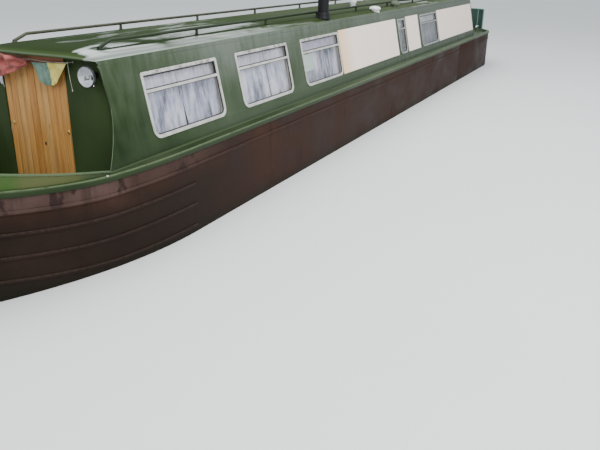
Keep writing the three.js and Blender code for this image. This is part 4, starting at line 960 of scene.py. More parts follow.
def sweptFaces(path, radius, sides=14, section=None):
    path = [Vector(p) for p in path]
    legs = [(b - a).normalized() for a, b in zip(path, path[1:])]
    across = legs[0].cross(Vector((0, 0, 1)))
    if across.length < 0.1:
        across = legs[0].cross(Vector((0, 1, 0)))
    across.normalize()
    rings = []
    for i, point in enumerate(path):
        before, after = legs[max(0, i - 1)], legs[min(len(legs) - 1, i)]
        ahead = (before + after).normalized()
        across = (across - ahead * across.dot(ahead)).normalized()
        up = across.cross(ahead)
        if section:
            rings.append([point + across * a + up * b for a, b in section])
        else:
            turn = [across * math.cos(g) * radius + up * math.sin(g) * radius for g in around(sides)]
            rings.append([point + arm for arm in turn])
    return loftFaces(rings)


def bevelled(made, edges, offset, segments, **rest):
    bmesh.ops.bevel(made, geom=edges, offset=offset, segments=segments, affect="EDGES", profile=0.5, **rest)


def blockFaces(low, high, bevel=0.0, segments=2):
    made = bmesh.new()
    bmesh.ops.create_cube(made, size=1.0)
    for v in made.verts:
        v.co = Vector((l + (c + 0.5) * (h - l) for c, l, h in zip(v.co, low, high)))
    if bevel:
        bevelled(made, made.edges[:], bevel, segments)
    made.verts.index_update()
    result = [v.co.copy() for v in made.verts], [tuple(v.index for v in f.verts) for f in made.faces]
    made.free()
    return result


def piece(name, parts, finish, **rest):
    return settle(meshObject(name, *merged(parts)), finish, **rest)


def thickened(obj, wall):
    addToScene(obj)
    change = obj.modifiers.new("wall", "SOLIDIFY")
    change.thickness = wall
    change.offset = 0.0
    thick = bpy.data.meshes.new_from_object(obj.evaluated_get(bpy.context.evaluated_depsgraph_get()))
    obj.modifiers.clear()
    obj.data = thick
    return obj


# One tree sets copies of a small piece along a path: the windows' screws and the doors' boards


def makeRepeatTree():
    tree = bpy.data.node_groups.new("setAlongPath", "GeometryNodeTree")
    kinds = {"Path": "Geometry", "Piece": "Object", "Count": "Int", "Facing": "Vector", "Finish": "Material"}
    for label, kind in kinds.items():
        tree.interface.new_socket(label, in_out="INPUT", socket_type="NodeSocket" + kind)
    tree.interface.new_socket("Copies", in_out="OUTPUT", socket_type="NodeSocketGeometry")
    given = tree.nodes.new("NodeGroupInput").outputs
    curve = node(tree, "GeometryNodeMeshToCurve", {"Mesh": given["Path"]}).outputs[0]
    sockets = {"Curve": curve, "Count": given["Count"]}
    spaced = node(tree, "GeometryNodeResampleCurve", sockets, mode="COUNT").outputs[0]
    source = node(tree, "GeometryNodeObjectInfo", {"Object": given["Piece"]}).outputs["Geometry"]
    turn = node(tree, "FunctionNodeAlignRotationToVector", {"Vector": given["Facing"]}, axis="Z").outputs[0]
    sockets = {"Points": spaced, "Instance": source, "Rotation": turn}
    copies = node(tree, "GeometryNodeInstanceOnPoints", sockets).outputs[0]
    solid = node(tree, "GeometryNodeRealizeInstances", {"Geometry": copies}).outputs[0]
    sockets = {"Geometry": solid, "Material": given["Finish"]}
    painted = node(tree, "GeometryNodeSetMaterial", sockets).outputs[0]
    out = tree.nodes.new("NodeGroupOutput")
    tree.links.new(painted, out.inputs[0])
    return tree


repeatTree = makeRepeatTree()


def repeated(name, path, source, count, finish, facing=(0, 0, 1), **rest):
    path = [Vector(p) for p in path]
    ring = (path[0] - path[-1]).length < 1e-6
    points = path[:-1] if ring else path
    edges = [(i, i + 1) for i in range(len(points) - 1)] + ([(len(points) - 1, 0)] if ring else [])
    line = bpy.data.meshes.new(name + ".path")
    line.from_pydata([tuple(p) for p in points], edges, [])
    carrier = bpy.data.objects.new(name + ".path", line)
    stamp = meshObject(name + ".stamp", *source)
    for obj in (carrier, stamp):
        addToScene(obj)
    change = carrier.modifiers.new("repeat", "NODES")
    change.node_group = repeatTree
    values = {"Piece": stamp, "Count": count, "Facing": facing, "Finish": finishes[finish]}
    for item in repeatTree.interface.items_tree:
        if item.in_out == "INPUT" and item.name in values:
            change[item.identifier] = values[item.name]
    ready = carrier.evaluated_get(bpy.context.evaluated_depsgraph_get())
    mesh = bpy.data.meshes.new_from_object(ready)
    bpy.data.objects.remove(carrier)
    bpy.data.objects.remove(stamp)
    mesh.name = name
    return settle(bpy.data.objects.new(name, mesh), finish, **rest)


sideName = {1: "port", -1: "starboard"}

# Windows

windowSetup = {
    # fore and aft edge of each window, aft of the cabin's front
    "spans": [(0.494, 1.714), (2.087, 3.301), (3.676, 4.894), (7.535, 7.94), (8.86, 10.02)],
    "sill": 0.137,
    "head": 0.73,
    "bottomRadius": 0.095,
    "topRadius": 0.024,
    "frame": [
        (0.0315, 0.0125), (0.0315, -0.003), (0.0285, -0.0085), (0.0255, -0.009), (0.005, -0.009),
        (0.0012, -0.0075), (0.0, -0.005), (0.0, -0.0003), (0.0153, -0.0003), (0.0153, 0.03),
        (0.0315, 0.03), (0.0315, 0.0185),
    ],  # distance in from the frame's edge, depth behind the cabin side
    "seal": [(0.0305, 0.004), (0.032, 0.001), (0.0375, 0.003), (0.0395, 0.0122), (0.0305, 0.0122)],
    "inner": 0.029,  # from the frame's edge in to the clear opening
    "transom": (0.546, 0.573),
    "shadowStripDepths": (0.0182, 0.0198),  # depths of the dark strips painted as shadow along the top light's head and aft end
    "pane": (0.034, 0.0128, 0.0178),  # distance in from the frame's edge, depths of both faces
    "screws": 26,
    "screwsAt": (0.0155, -0.009),
    "screw": [(0, 0.0002), (0.0035, 0.0002), (0.0032, 0.0012), (0.0018, 0.0019), (0, 0.0021)],
    "dullFrom": 4,  # the two aft windows have duller frames
}


def windowOutline(fore, aft, inset, low=None, high=None):
    w = windowSetup
    low = w["sill"] + inset if low is None else low
    high = w["head"] - inset if high is None else high
    a, b = boat["cabinFront"] - aft + inset, boat["cabinFront"] - fore - inset
    bottom = max(0.02, w["bottomRadius"] - inset) if low < 0.3 else 0.004
    top = max(0.012, w["topRadius"] - inset) if high > 0.6 else 0.004
    out = []
    corners = [
        (b - bottom, low + bottom, bottom, -90), (b - top, high - top, top, 0),
        (a + top, high - top, top, 90), (a + bottom, low + bottom, bottom, 180),
    ]
    for x, z, radius, start in corners:
        for k in range(9):
            angle = math.radians(start + 90 * k / 8)
            out.append((x + radius * math.cos(angle), z + radius * math.sin(angle)))
    return out


def makeWindow(number, side, fore, aft):
    w = windowSetup
    ends = f"{number}_{sideName[side]}"

    def ring(inset, depth, **bounds):
        return [sidePoint(side, x, z, depth) for x, z in windowOutline(fore, aft, inset, **bounds)]

    frameFaces = loftFaces([ring(*step) for step in w["frame"]], loop=True)
    low, high = w["transom"]
    a, b = boat["cabinFront"] - aft + w["inner"], boat["cabinFront"] - fore - w["inner"]
    section = (
        (low, 0.012), (low + 0.001, -0.0035), (low + 0.004, -0.005), (high - 0.004, -0.005),
        (high - 0.001, -0.0035), (high, 0.012),
    )
    transom = loftFaces([[sidePoint(side, x, z, d) for z, d in section] for x in (a, b)])
    metal = "aluminium" if number < w["dullFrom"] else "dullMetal"
    piece(
        f"windowFrame_{ends}", [frameFaces, transom], metal, slot="window_metal",
        replaced=[f"window_{ends}"],
    )
    seals = [loftFaces([ring(*step) for step in w["seal"]], loop=True)]
    for z, lean in ((low, -1), (high, 1)):
        strip = ((z, 0.002), (z + lean * 0.007, 0.004), (z + lean * 0.007, 0.012), (z, 0.012))
        across = (a + 0.004, b - 0.004)
        seals.append(loftFaces([[sidePoint(side, x, p, d) for p, d in strip] for x in across]))
    # painted shadow: dark strips behind the glass along the top light's head and aft end
    head = w["head"] - w["inner"]
    top = [(a, head - 0.022), (b, head - 0.022), (b, head), (a, head)]
    aftEnd = [(a, high + 0.006), (a + 0.02, high + 0.006), (a + 0.02, head - 0.02), (a, head - 0.02)]
    for corners in (top, aftEnd):
        seals.append(loftFaces([[sidePoint(side, x, z, d) for x, z in corners] for d in w["shadowStripDepths"]]))
    piece(f"windowSeal_{ends}", seals, "blackSealAndShade")
    inset, *depths = w["pane"]
    panes = []
    for bounds in ({"high": low + 0.004}, {"low": high - 0.004}):
        panes.append(loftFaces([ring(inset, depth, **bounds) for depth in depths]))
    piece(f"windowGlass_{ends}", panes, "glass")
    loop = ring(*w["screwsAt"])
    outward = Vector((0, side, boat["sideSlope"])).normalized()
    screw = turnedFaces(w["screw"], (0, 0, 0), sides=8)
    repeated(f"windowScrews_{ends}", loop + [loop[0]], screw, w["screws"], "aluminium", facing=outward)


for side in (1, -1):
    for number, (fore, aft) in enumerate(windowSetup["spans"], 1):
        makeWindow(number, side, fore, aft)
print("windows made")

# Net curtains

curtainSetup = {
    "depth": 0.0725,
    "foot": 0.126,
    "head": 0.757,
    "pleat": 0.043,
    "swing": 0.008,
    # share of the width where the pair meets, from the fore end
    "meets": {1: 0.5, 2: 0.6, 3: 0.66, 4: 0.5, 5: 0.45},
    "lap": 0.02,  # how far the cloth runs past the window at each end
    "thickness": 0.0009,
    "rows": 14,
    "step": 0.0045,
    "greyFrom": 4,  # the two aft windows have greyer cloth
    "open": 3,  # and the third one a more open weave
    "rod": 0.0055,
    "rodAt": 0.763,
    "rodBehind": 0.013,
    "arm": (0.757, 0.765, 0.0605),  # height at the wall, height at the rod, depth of the wall
    "middleBracket": -1.3,
}


def makeCurtain(name, side, start, end, lean, seed):
    c = curtainSetup
    steps = max(24, int(abs(end - start) / c["step"]))
    rows = c["rows"]
    grid = []
    for r in range(rows + 1):
        up = r / rows
        z = c["foot"] + (c["head"] - c["foot"]) * up
        line = []
        for k in range(steps + 1):
            share = k / steps
            x = start + (end - start) * share
            wander = noise.noise(Vector((x * 4.0, seed * 3.1, up * 0.8)))
            phase = 2 * math.pi * (abs(x - start) / c["pleat"] + 0.55 * wander)
            swing = c["swing"] * (0.75 + 0.5 * noise.noise(Vector((x * 7, seed, up * 1.3))))
            inner = lean * (1 - up) ** 1.5 * share ** 3
            bulge = 0.3 * swing * math.sin(2.6 * phase + seed)
            fold = swing * math.sin(phase) * (1.0 - 0.25 * up) + bulge
            line.append(sidePoint(side, x - inner, z, c["depth"] + fold))
        grid.append(line)
    flatWidth = sum(sum((b - a).length for a, b in zip(line, line[1:])) for line in grid) / len(grid)
    flatLength = (grid[-1][0] - grid[0][0]).length
    cloth = meshObject(name, [p for line in grid for p in line], gridFaces(steps, rows))
    return thickened(cloth, c["thickness"]), (flatWidth, flatLength)


def makeRod(side):
    c = curtainSetup
    spans, depth = windowSetup["spans"], c["depth"] + c["rodBehind"]
    first, last = boat["cabinFront"] - spans[0][0], boat["cabinFront"] - spans[-1][1]
    line = [sidePoint(side, x, c["rodAt"], depth) for x in (first + 0.035, last - 0.035)]
    parts = [sweptFaces(line, c["rod"], 12)]
    low, high, wall = c["arm"]
    for x in (first + 0.03, c["middleBracket"], last - 0.03):
        arm = [sidePoint(side, x, z, d) for z, d in ((low, wall), (low, depth), (high, depth))]
        parts.append(sweptFaces(filleted(arm, 0.005, 3), 0.0035, 8))
    name = sideName[side]
    return piece(f"curtainRod_{name}", parts, "brass", slot="net_curtain", replaced=[f"curtains_{name}"])


def makeCurtains(side):
    c = curtainSetup
    rod = makeRod(side)
    for number, (fore, aft) in enumerate(windowSetup["spans"], 1):
        front, back = boat["cabinFront"] - fore + c["lap"], boat["cabinFront"] - aft - c["lap"]
        meet = front + (back - front) * c["meets"][number]
        finish = "greyNet" if number >= c["greyFrom"] else "openNet" if number == c["open"] else "net"
        pair = {"fore": (front, meet + 0.001, -0.01), "aft": (back, meet - 0.001, 0.014)}
        for part, (start, end, lean) in pair.items():
            name = f"curtain_{number}_{part}_{sideName[side]}"
            cloth, flat = makeCurtain(name, side, start, end, lean, number * 2 + len(part))
            settle(cloth, finish, slot="net_curtain", smooth=80)


for side in (1, -1):
    makeCurtains(side)
print("curtains hung")

# Cream panels on the cabin sides

panelSetup = {
    "spans": {"fore": (-0.813, 1.708), "mid": (-2.111, -1.372), "aft": (-6.462, -3.437)},
    "low": 0.141,
    "high": 0.744,
    "depths": (0.0004, -0.0014),  # its back within the side's plate, its face proud of it
}


def makePanels(side, p):
    for name, (aftEnd, foreEnd) in p["spans"].items():
        corners = [(aftEnd, p["low"]), (foreEnd, p["low"]), (foreEnd, p["high"]), (aftEnd, p["high"])]
        faces = loftFaces([[sidePoint(side, x, z, d) for x, z in corners] for d in p["depths"]])
        piece(f"creamPanel_{name}_{sideName[side]}", [faces], "cream", slot="white_paint")


for side in (1, -1):
    makePanels(side, panelSetup)
print("panels painted")

# Front doors

doorSetup = {
    "low": 0.785,
    "high": 2.167,
    "back": 6.51,
    "face": 6.542,
    # y from, y to, side of the hinges
    "leaves": {"port": (-0.0791, 0.293, 1), "starboard": (-0.458, -0.0859, -1)},
    "boards": 5,
    "boardGroove": 0.0035,
    "keyhole": (-0.037, 1.426),
    "keyholeRound": [(0, 0), (0.0105, 0), (0.01, 0.0012), (0, 0.0014)],
    "pull": {"port": (0.257, 1.561), "starboard": (-0.415, 1.577)},
    "pullPlate": [(0, 0), (0.017, 0), (0.017, 0.002), (0.013, 0.004), (0, 0.005)],
    "ring": 0.013,
    "wire": 0.0022,
    "hinges": (0.95, 1.5, 2.02),
    "knuckle": [
        (0, -0.038), (0.0035, -0.038), (0.004, -0.036), (0.004, 0.036), (0.0035, 0.038), (0, 0.038),
    ],
}


def makeFrontDoor(name, low, high, hinge):
    d = doorSetup
    body = f"bow_leaf_{name}"
    face, back = d["face"], d["back"]
    step, tall = (high - low) / d["boards"], d["high"] - d["low"]
    corner = Vector((0.0, step / 2 - 0.0002, tall / 2))
    board = blockFaces(Vector((-0.01, 0.0, 0.0)) - corner, corner, d["boardGroove"], 2)
    middle = (d["high"] + d["low"]) / 2
    row = [(face, low + step / 2, middle), (face, high - step / 2, middle)]
    repeated(
        f"doorBoards_{name}", row, board, d["boards"], "pine", body=body, slot="pine",
        replaced=[f"front_door_{name}"],
    )
    coreLow = (back + 0.0005, low + 0.004, d["low"] + 0.002)
    coreHigh = (face - 0.0095, high - 0.004, d["high"] - 0.002)
    piece(f"doorCore_{name}", [blockFaces(coreLow, coreHigh, 0.002)], "pine", body=body, slot="pine")
    # the pull: a round plate with a ring on it
    y, z = d["pull"][name]
    plate = turnedFaces(d["pullPlate"], (face + 0.0003, y, z), (1, 0, 0), 20)
    middle = Vector((face + 0.006, y, z - 0.008))
    outward = [Vector((0.0, math.cos(g), math.sin(g))) for g in around(20)]
    wire = [(d["wire"] * math.cos(g), Vector((d["wire"] * math.sin(g), 0.0, 0.0))) for g in around(8)]
    ring = loftFaces([[middle + out * (d["ring"] + a) + b for a, b in wire] for out in outward], loop=True)
    if name == "port":
        y, z = d["keyhole"]
        # painted shade: a dark piece stands for the keyhole's opening
        slotted = turnedFaces(d["keyholeRound"], (face + 0.0024, y, z + 0.002), (1, 0, 0), 18)
        slot = blockFaces((face + 0.0022, y - 0.0065, z - 0.02), (face + 0.0036, y + 0.0065, z), 0.002)
        piece("doorKeyhole", [slotted, slot], "blackSealAndShade", body=body)
    piece(f"doorBrass_{name}", [plate, ring], "brass", body=body)
    edge = high if hinge > 0 else low
    places = [(face - 0.001, edge - hinge * 0.0008, z) for z in d["hinges"]]
    knuckles = [turnedFaces(d["knuckle"], place, sides=12) for place in places]
    piece(f"doorHinges_{name}", knuckles, "steel", body=body)


for name, row in doorSetup["leaves"].items():
    makeFrontDoor(name, *row)
print("front doors made")

# Roof furniture

railSetup = {
    "y": 0.505,
    "z": 2.34,
    "radius": 0.015,
    "foreFoot": 6.34,
    "foreBend": 6.18,
    "aftBend": -5.775,
    "aftFoot": -5.935,
    "posts": [4.853 - 1.486 * k for k in range(8)],
    "post": [(0, 0.0008), (0.024, 0.0008), (0.024, 0.004), (0.017, 0.008), (0.0155, 0.012)],
    "postTop": 0.0145,
    "footPlate": [(0, 0.0006), (0.03, 0.0006), (0.03, 0.003), (0.022, 0.007), (0, 0.008)],
}


def makeHandrail(side):
    r = railSetup
    y, top = side * r["y"], roofTop(r["y"])
    foot = top + 0.0095
    corners = [(r["foreFoot"], foot), (r["foreBend"], r["z"]), (r["aftBend"], r["z"]), (r["aftFoot"], foot)]
    line = filleted([(x, y, z) for x, z in corners], 0.09, 8)
    parts = [sweptFaces(line, r["radius"], 16)]
    post = r["post"] + [(r["postTop"], r["z"] - top), (0, r["z"] - top)]
    parts += [turnedFaces(post, (x, y, top), sides=14) for x in r["posts"]]
    for x in (r["foreFoot"] - 0.012, r["aftFoot"] + 0.012):
        parts.append(turnedFaces(r["footPlate"], (x, y, top), sides=20))
    # the port rail is painted darker than the starboard one
    piece(
        f"rail_{sideName[side]}", parts, "darkRail" if side > 0 else "paleRail", slot="cabin_paint",
        replaced=[f"handrail_{sideName[side]}"],
    )


for side in (1, -1):
    makeHandrail(side)

chimneySetup = {
    "at": (1.925, 0.625),
    "collar": [
        (0, -0.004), (0.104, -0.004), (0.1045, 0.008), (0.101, 0.016), (0.094, 0.027), (0.09, 0.045),
        (0.086, 0.083), (0.083, 0.088),
    ],
    "pipe": [
        (0.077, 0.088), (0.077, 0.578), (0.084, 0.58), (0.0875, 0.584), (0.0875, 0.592), (0.084, 0.596),
        (0.08, 0.597), (0.071, 0.597), (0.069, 0.59), (0.069, 0.3), (0, 0.3),
    ],
    "bands": (0.44, 0.475),
    "band": [
        (0.0768, 0), (0.0785, 0.001), (0.079, 0.004), (0.079, 0.012), (0.0785, 0.015), (0.0768, 0.016),
    ],
}


def makeChimney(c):
    x, y = c["at"]
    base = (x, y, roofTop(y))
    pipe = turnedFaces(c["collar"] + c["pipe"], base, sides=40)
    piece("chimneyPipe", [pipe], "iron", slot="stove_iron", replaced=["chimney"])
    bands = []
    for height in c["bands"]:
        profile = [(radius, height + up) for radius, up in c["band"]]
        bands.append(turnedFaces(profile, base, sides=40))
    piece("chimneyBands", bands, "brass")


makeChimney(chimneySetup)

ventSetup = {
    "vent_fore": {
        "at": (-0.095, 0.645), "radius": 0.098, "height": 0.078, "finish": "perforated", "slots": 26,
    },
    "vent_mid": {"at": (-1.225, 0.61), "radius": 0.086, "height": 0.105, "finish": "ventGreen", "slots": 18},
    "vent_aft": {"at": (-0.268, 0.183), "radius": 0.058, "height": 0.15, "finish": "white", "slots": 12},
}

# A vent's half outline: share of the radius, share of the height
ventOutline = [
    (0.8, 0.3), (0.97, 0.32), (1, 0.36), (1, 0.48), (0.97, 0.57), (0.88, 0.73), (0.72, 0.86), (0.5, 0.95),
    (0.25, 0.99),
]


def makeVent(name, v):
    x, y = v["at"]
    r, h = v["radius"], v["height"]
    base = Vector((x, y, roofTop(y)))
    profile = [(0, -0.022), (0.8 * r, -0.022), *[(a * r, b * h) for a, b in ventOutline], (0, h)]
    slotName = "cabin_paint" if v["finish"] == "ventGreen" else "white_paint"
    piece(f"{name}Cap", [turnedFaces(profile, base, sides=40)], v["finish"], slot=slotName, replaced=[name])
    # painted shade: small dark blocks stand for the louvres' openings
    points, faces = blockFaces((-0.003, -0.0015, -0.07 * h), (0.003, 0.0015, 0.07 * h), 0.001, 1)
    parts = []
    for angle in around(v["slots"]):
        out = Vector((math.cos(angle), math.sin(angle), 0))
        turn = Matrix.Rotation(angle, 3, "Z")
        for level, reach in ((0.16, 0.8 * r + 0.0012), (0.42, r + 0.0002)):
            place = base + out * reach + Vector((0, 0, level * h))
            parts.append(([turn @ p + place for p in points], faces))
    piece(f"{name}Slots", parts, "blackSealAndShade")


for name, v in ventSetup.items():
    makeVent(name, v)
print("roof furniture made")

# Headlamp

lampSetup = {
    "at": (6.55, 0.645, 2.097),
    "bowl": [
        (0, 0.0003), (0.03, 0.0003), (0.03, 0.054), (0.034, 0.058), (0.05, 0.064), (0.066, 0.073),
        (0.08, 0.086), (0.088, 0.099), (0.0895, 0.104), (0.092, 0.106), (0.092, 0.116), (0.0905, 0.1195),
        (0.087, 0.121), (0.083, 0.1205), (0.0815, 0.116), (0.074, 0.1), (0.058, 0.084), (0.036, 0.073),
        (0.012, 0.07), (0, 0.07),
    ],
    "reflectorFrom": 13,
    "lens": [
        (0, 0.127), (0.03, 0.1262), (0.06, 0.1235), (0.0795, 0.119), (0.0805, 0.1165), (0.079, 0.115),
        (0.06, 0.1195), (0.03, 0.1222), (0, 0.123),
    ],
    "bulb": [
        (0, 0.069), (0.01, 0.069), (0.01, 0.08), (0.014, 0.09), (0.014, 0.1), (0.008, 0.108), (0, 0.11),
    ],
    "bracket": [(0.002, 0.01, -0.06), (0.03, 0.01, -0.062), (0.055, 0.012, -0.075)],
    "cap": [(0, 0), (0.01, 0), (0.012, 0.003), (0.01, 0.01), (0, 0.012)],
}


def makeLamp(setup):
    at, edge, outline = setup["at"], setup["reflectorFrom"], setup["bowl"]

    def turned(profile, sides=48):
        return turnedFaces(profile, at, (1, 0, 0), sides)

    # the bowl's chrome is darkened as painted shade
    piece(
        "headlampBowl", [turned(outline[:edge + 1])], "shadedChrome", slot="lamp_chrome",
        replaced=["headlamp"],
    )
    piece("headlampReflector", [turned(outline[edge:])], "reflector", slot="lamp_chrome")
    piece("headlampLens", [turned(setup["lens"])], "glass")
    foot = sweptFaces(filleted([Vector(at) + Vector(p) for p in setup["bracket"]], 0.02), 0.007, 10)
    cap = turnedFaces(setup["cap"], Vector(at) + Vector((0.055, 0.012, -0.086)), sides=16)
    piece("headlampBulb", [turned(setup["bulb"], 20)], "white")
    piece("headlampBracket", [foot, cap], "chrome")


makeLamp(lampSetup)
print("headlamp made")

# The hull's skin, smooth where the CAD is faceted

hullSetup = {
    "half": 1.04,
    "bowStart": 5.725,
    "bowCurve": 3.2,
    "fullness": (1.7, 0.7),  # exponent of the bow's curve at the baseplate, and what the gunwale adds
    "rake": 0.65,
    "base": 0.012,
    "plating": 0.015,  # from the guards' faces in to the plating
    "platingTop": 0.0112,  # below the gunwale's face
    "lining": 0.065,
    "liningTop": 0.0103,
    "guards": (0.185, 0.37, 0.58, 0.8),  # below the gunwale
    "guardsEnd": 0.972,
    "swimStart": -4.7,
    "counterStart": -7.68,
    "counterRadius": 1.05,
}
bowShares = [k / 30 for k in range(27)] + [0.89, 0.91, 0.93, 0.945, 0.96, 0.975, 0.985, 0.993, 1.0]
quarterShares = [1 - k / 14 for k in range(15)]


def bowPoint(u, d, share=1.0):
    h = hullSetup
    x = h["bowStart"] + (h["bowCurve"] - 1.5 * d - h["rake"] * (1 - share) ** 1.5) * u
    return x, (h["half"] - d) * (1 - u ** (h["fullness"][0] + h["fullness"][1] * share ** 0.7))


def bowHeight(u):
    return boat["gunwale"] + sheerAt(bowPoint(u, 0)[0])


def bowPlace(u, d, depth):
    top, base = bowHeight(u), hullSetup["base"]
    x, y = bowPoint(u, d, max(0.0, (top - depth - base) / (top - base)))
    return Vector((x, y, top - depth))


def counterPlace(t, d, z):
    h = hullSetup
    angle = t * math.pi / 2
    x = h["counterStart"] - (h["counterRadius"] - d) * math.cos(angle)
    return Vector((x, (h["half"] - d) * math.sin(angle), z))


def mirrored(ring):
    return [Vector((p.x, -p.y, p.z)) for p in ring]


def bothSides(rings):
    return rings + [mirrored(ring) for ring in rings[-2::-1]]


# A guard's half-round face: distance out from the plating as a share, height from its middle
guardRound = [
    (0.0, 0.021), (0.45, 0.0205), (0.8, 0.017), (0.97, 0.011), (1.0, 0.004), (1.0, -0.004), (0.97, -0.011),
    (0.8, -0.017), (0.45, -0.0205), (0.0, -0.021),
]


def platedProfile(guards, foot, proud=1.0):
    plating = hullSetup["plating"]
    out = [(plating, hullSetup["platingTop"], 0.0)]
    for depth in guards:
        # the guards' upper faces carry the painted highlight
        out += [
            (plating - 0.012 * proud * reach, depth - rise, 1.0 if 0.003 < rise < 0.018 else 0.0)
            for reach, rise in guardRound
        ]
    return out + [(plating, (foot + guards[-1]) / 2, 0.0), (plating, foot, 0.0)]


# the first attribute marks edges painted pale, as highlight and wear; the shade attribute marks painted shade
def wearAndLightPiece(name, parts, finish, wearAndLight, shade=None, **rest):
    obj = meshObject(name, *merged(parts))
    for layer, values in (("wearAndLight", wearAndLight), ("shade", shade)):
        if values:
            obj.data.attributes.new(layer, "FLOAT", "POINT").data.foreach_set("value", values)
    return settle(obj, finish, **rest)


def bothSidesWearAndLight(wearAndLight):
    return [wear for ring in wearAndLight + wearAndLight[-2::-1] for wear in ring]


def makeBowShell(h):
    rings, wearAndLight = [], []
    for u in bowShares:
        proud = min(1.0, max(0.0, (h["guardsEnd"] - u) / 0.02))
        foot = bowHeight(u) - h["base"] - boat["seat"]
        profile = platedProfile(h["guards"], foot, proud)
        inner = [(h["lining"], d) for d in (foot, *reversed(h["guards"]), h["platingTop"])]
        plates = profile + [(d, depth, 0.0) for d, depth in inner]
        rings.append([bowPlace(u, d, depth) for d, depth, _ in plates])
        wearAndLight.append([wear for _, _, wear in plates])
    wearAndLightPiece(
        "bowPlating", [loftFaces(bothSides(rings))], "hull", bothSidesWearAndLight(wearAndLight), slot="hull_paint",
        replaced=["bow_shell"],
    )


makeBowShell(hullSetup)


def makeHullSide(side, h):
    foot = boat["gunwale"] - h["base"] - boat["seat"]
    profile = platedProfile(h["guards"][:1], foot)
    inner = [(h["lining"], foot, 0.0), (h["lining"], h["liningTop"], 0.0)]
    start, long = h["swimStart"] + boat["seat"], h["bowStart"] - h["swimStart"] - 2 * boat["seat"]
    stations = [start + long * k / 16 for k in range(17)]
    plates = profile + inner
    rings = [
        [Vector((x, side * (h["half"] - d), boat["gunwale"] - depth)) for d, depth, _ in plates]
        for x in stations
    ]
    wearAndLight = [wear for _ in stations for _, _, wear in plates]
    wearAndLightPiece(
        f"sidePlating_{sideName[side]}", [loftFaces(rings)], "hull", wearAndLight, slot="hull_paint",
        replaced=[f"hull_side_{sideName[side]}"],
    )


for side in (1, -1):
    makeHullSide(side, hullSetup)

gunwaleSetup = {
    "deckWidth": 0.066,
    "cabinWidth": 0.177,
    "bowWidth": 0.09,
    "cabinHalf": 0.863,
    "stations": [(-7.2, 0.066), (-6.555, 0.066), (-6.529, 0.177), (-2.0, 0.177), (2.0, 0.177)],
    "bowPower": 2.4,
    "coamingFrom": 0.34,  # share of the bow's length
    "foot": 0.1165,  # distance in from the edge of the line where the cabin side stands
    "footLine": [(-0.014, 0), (-0.0085, 0.75), (-0.001, 0.75), (0.002, 0)],
    "plate": 0.01,
    "lip": 0.055,
}


def gunwaleSection(width, foot=None):
    lip, plate = gunwaleSetup["lip"], gunwaleSetup["plate"]
    # distance in, drop, wear and painted highlight, painted shade
    nose = [
        (0.0045, lip, 0, 0.9), (0.001, lip - 0.003, 0, 0.9), (0.0, lip - 0.008, 0, 0.7),
        (0.0, 0.022, 0, 0.45), (0.0, 0.012, 0.25, 0), (0.0006, 0.006, 0.9, 0), (0.0022, 0.0018, 1.0, 0),
        (0.0055, 0.0, 1.0, 0), (0.0105, 0.0, 0.8, 0), (0.0165, 0.0, 0, 0),
    ]
    if foot:
        line = [(foot + step, 0.0, wear, 0) for step, wear in gunwaleSetup["footLine"]]
    else:
        line = [(width * share, 0.0, 0, 0) for share in (0.5, 0.62, 0.75, 0.88)]
    back = [(width, 0.0, 0.2, 0), (width, plate, 0, 0), (0.0125, plate, 0, 0), (0.0125, lip, 0, 0.9)]
    return nose + line + back


def makeGunwale(g):
    half, top = hullSetup["half"], boat["gunwale"]
    rows = []
    for t in reversed(quarterShares):
        section = gunwaleSection(g["deckWidth"])
        rows.append(([counterPlace(t, d, top - drop) for d, drop, _, _ in section], section))
    for x, width in g["stations"]:
        section = gunwaleSection(width, g["foot"] if width == g["cabinWidth"] else None)
        rows.append(([Vector((x, half - d, top - drop)) for d, drop, _, _ in section], section))
    for u in bowShares:
        taper = 1 - u ** g["bowPower"]
        width = g["bowWidth"] if u > g["coamingFrom"] else half - g["cabinHalf"] / taper
        section = gunwaleSection(width, g["foot"] / taper ** 0.5 if u < 0.3 else None)
        rows.append(([Vector((*bowPoint(u, d), bowHeight(u) - drop)) for d, drop, _, _ in section], section))
    whole = [ring for ring, _ in rows] + [mirrored(ring) for ring, _ in rows[-2:0:-1]]
    sections = [section for _, section in rows + rows[-2:0:-1]]
    wearAndLight = [row[2] for section in sections for row in section]
    shade = [row[3] for section in sections for row in section]
    wearAndLightPiece(
        "sideDecks", [loftFaces(whole, loop=True)], "deckGreen", wearAndLight, shade, slot="cabin_paint",
        replaced=["gunwale"],
    )


makeGunwale(gunwaleSetup)

coamingSetup = {
    "from": gunwaleSetup["coamingFrom"],
    "steps": 26,
    "height": (0.026, 0.108),  # at its aft end, and what it gains towards the stem
    "inset": (0.042, 0.017),
    # distance in, drop from the top edge, wear and painted highlight
    "section": [
        (0.0035, 0.024, 0.0), (0.0, 0.021, 0.2), (-0.0035, 0.0175, 0.7), (-0.0045, 0.011, 0.9),
        (-0.0035, 0.0045, 1.0), (-0.0005, 0.001, 1.0), (0.004, 0.0, 1.0), (0.009, 0.0005, 0.9),
        (0.0125, 0.0035, 0.5), (0.0135, 0.009, 0.1), (0.013, 0.014, 0.0),
    ],
}


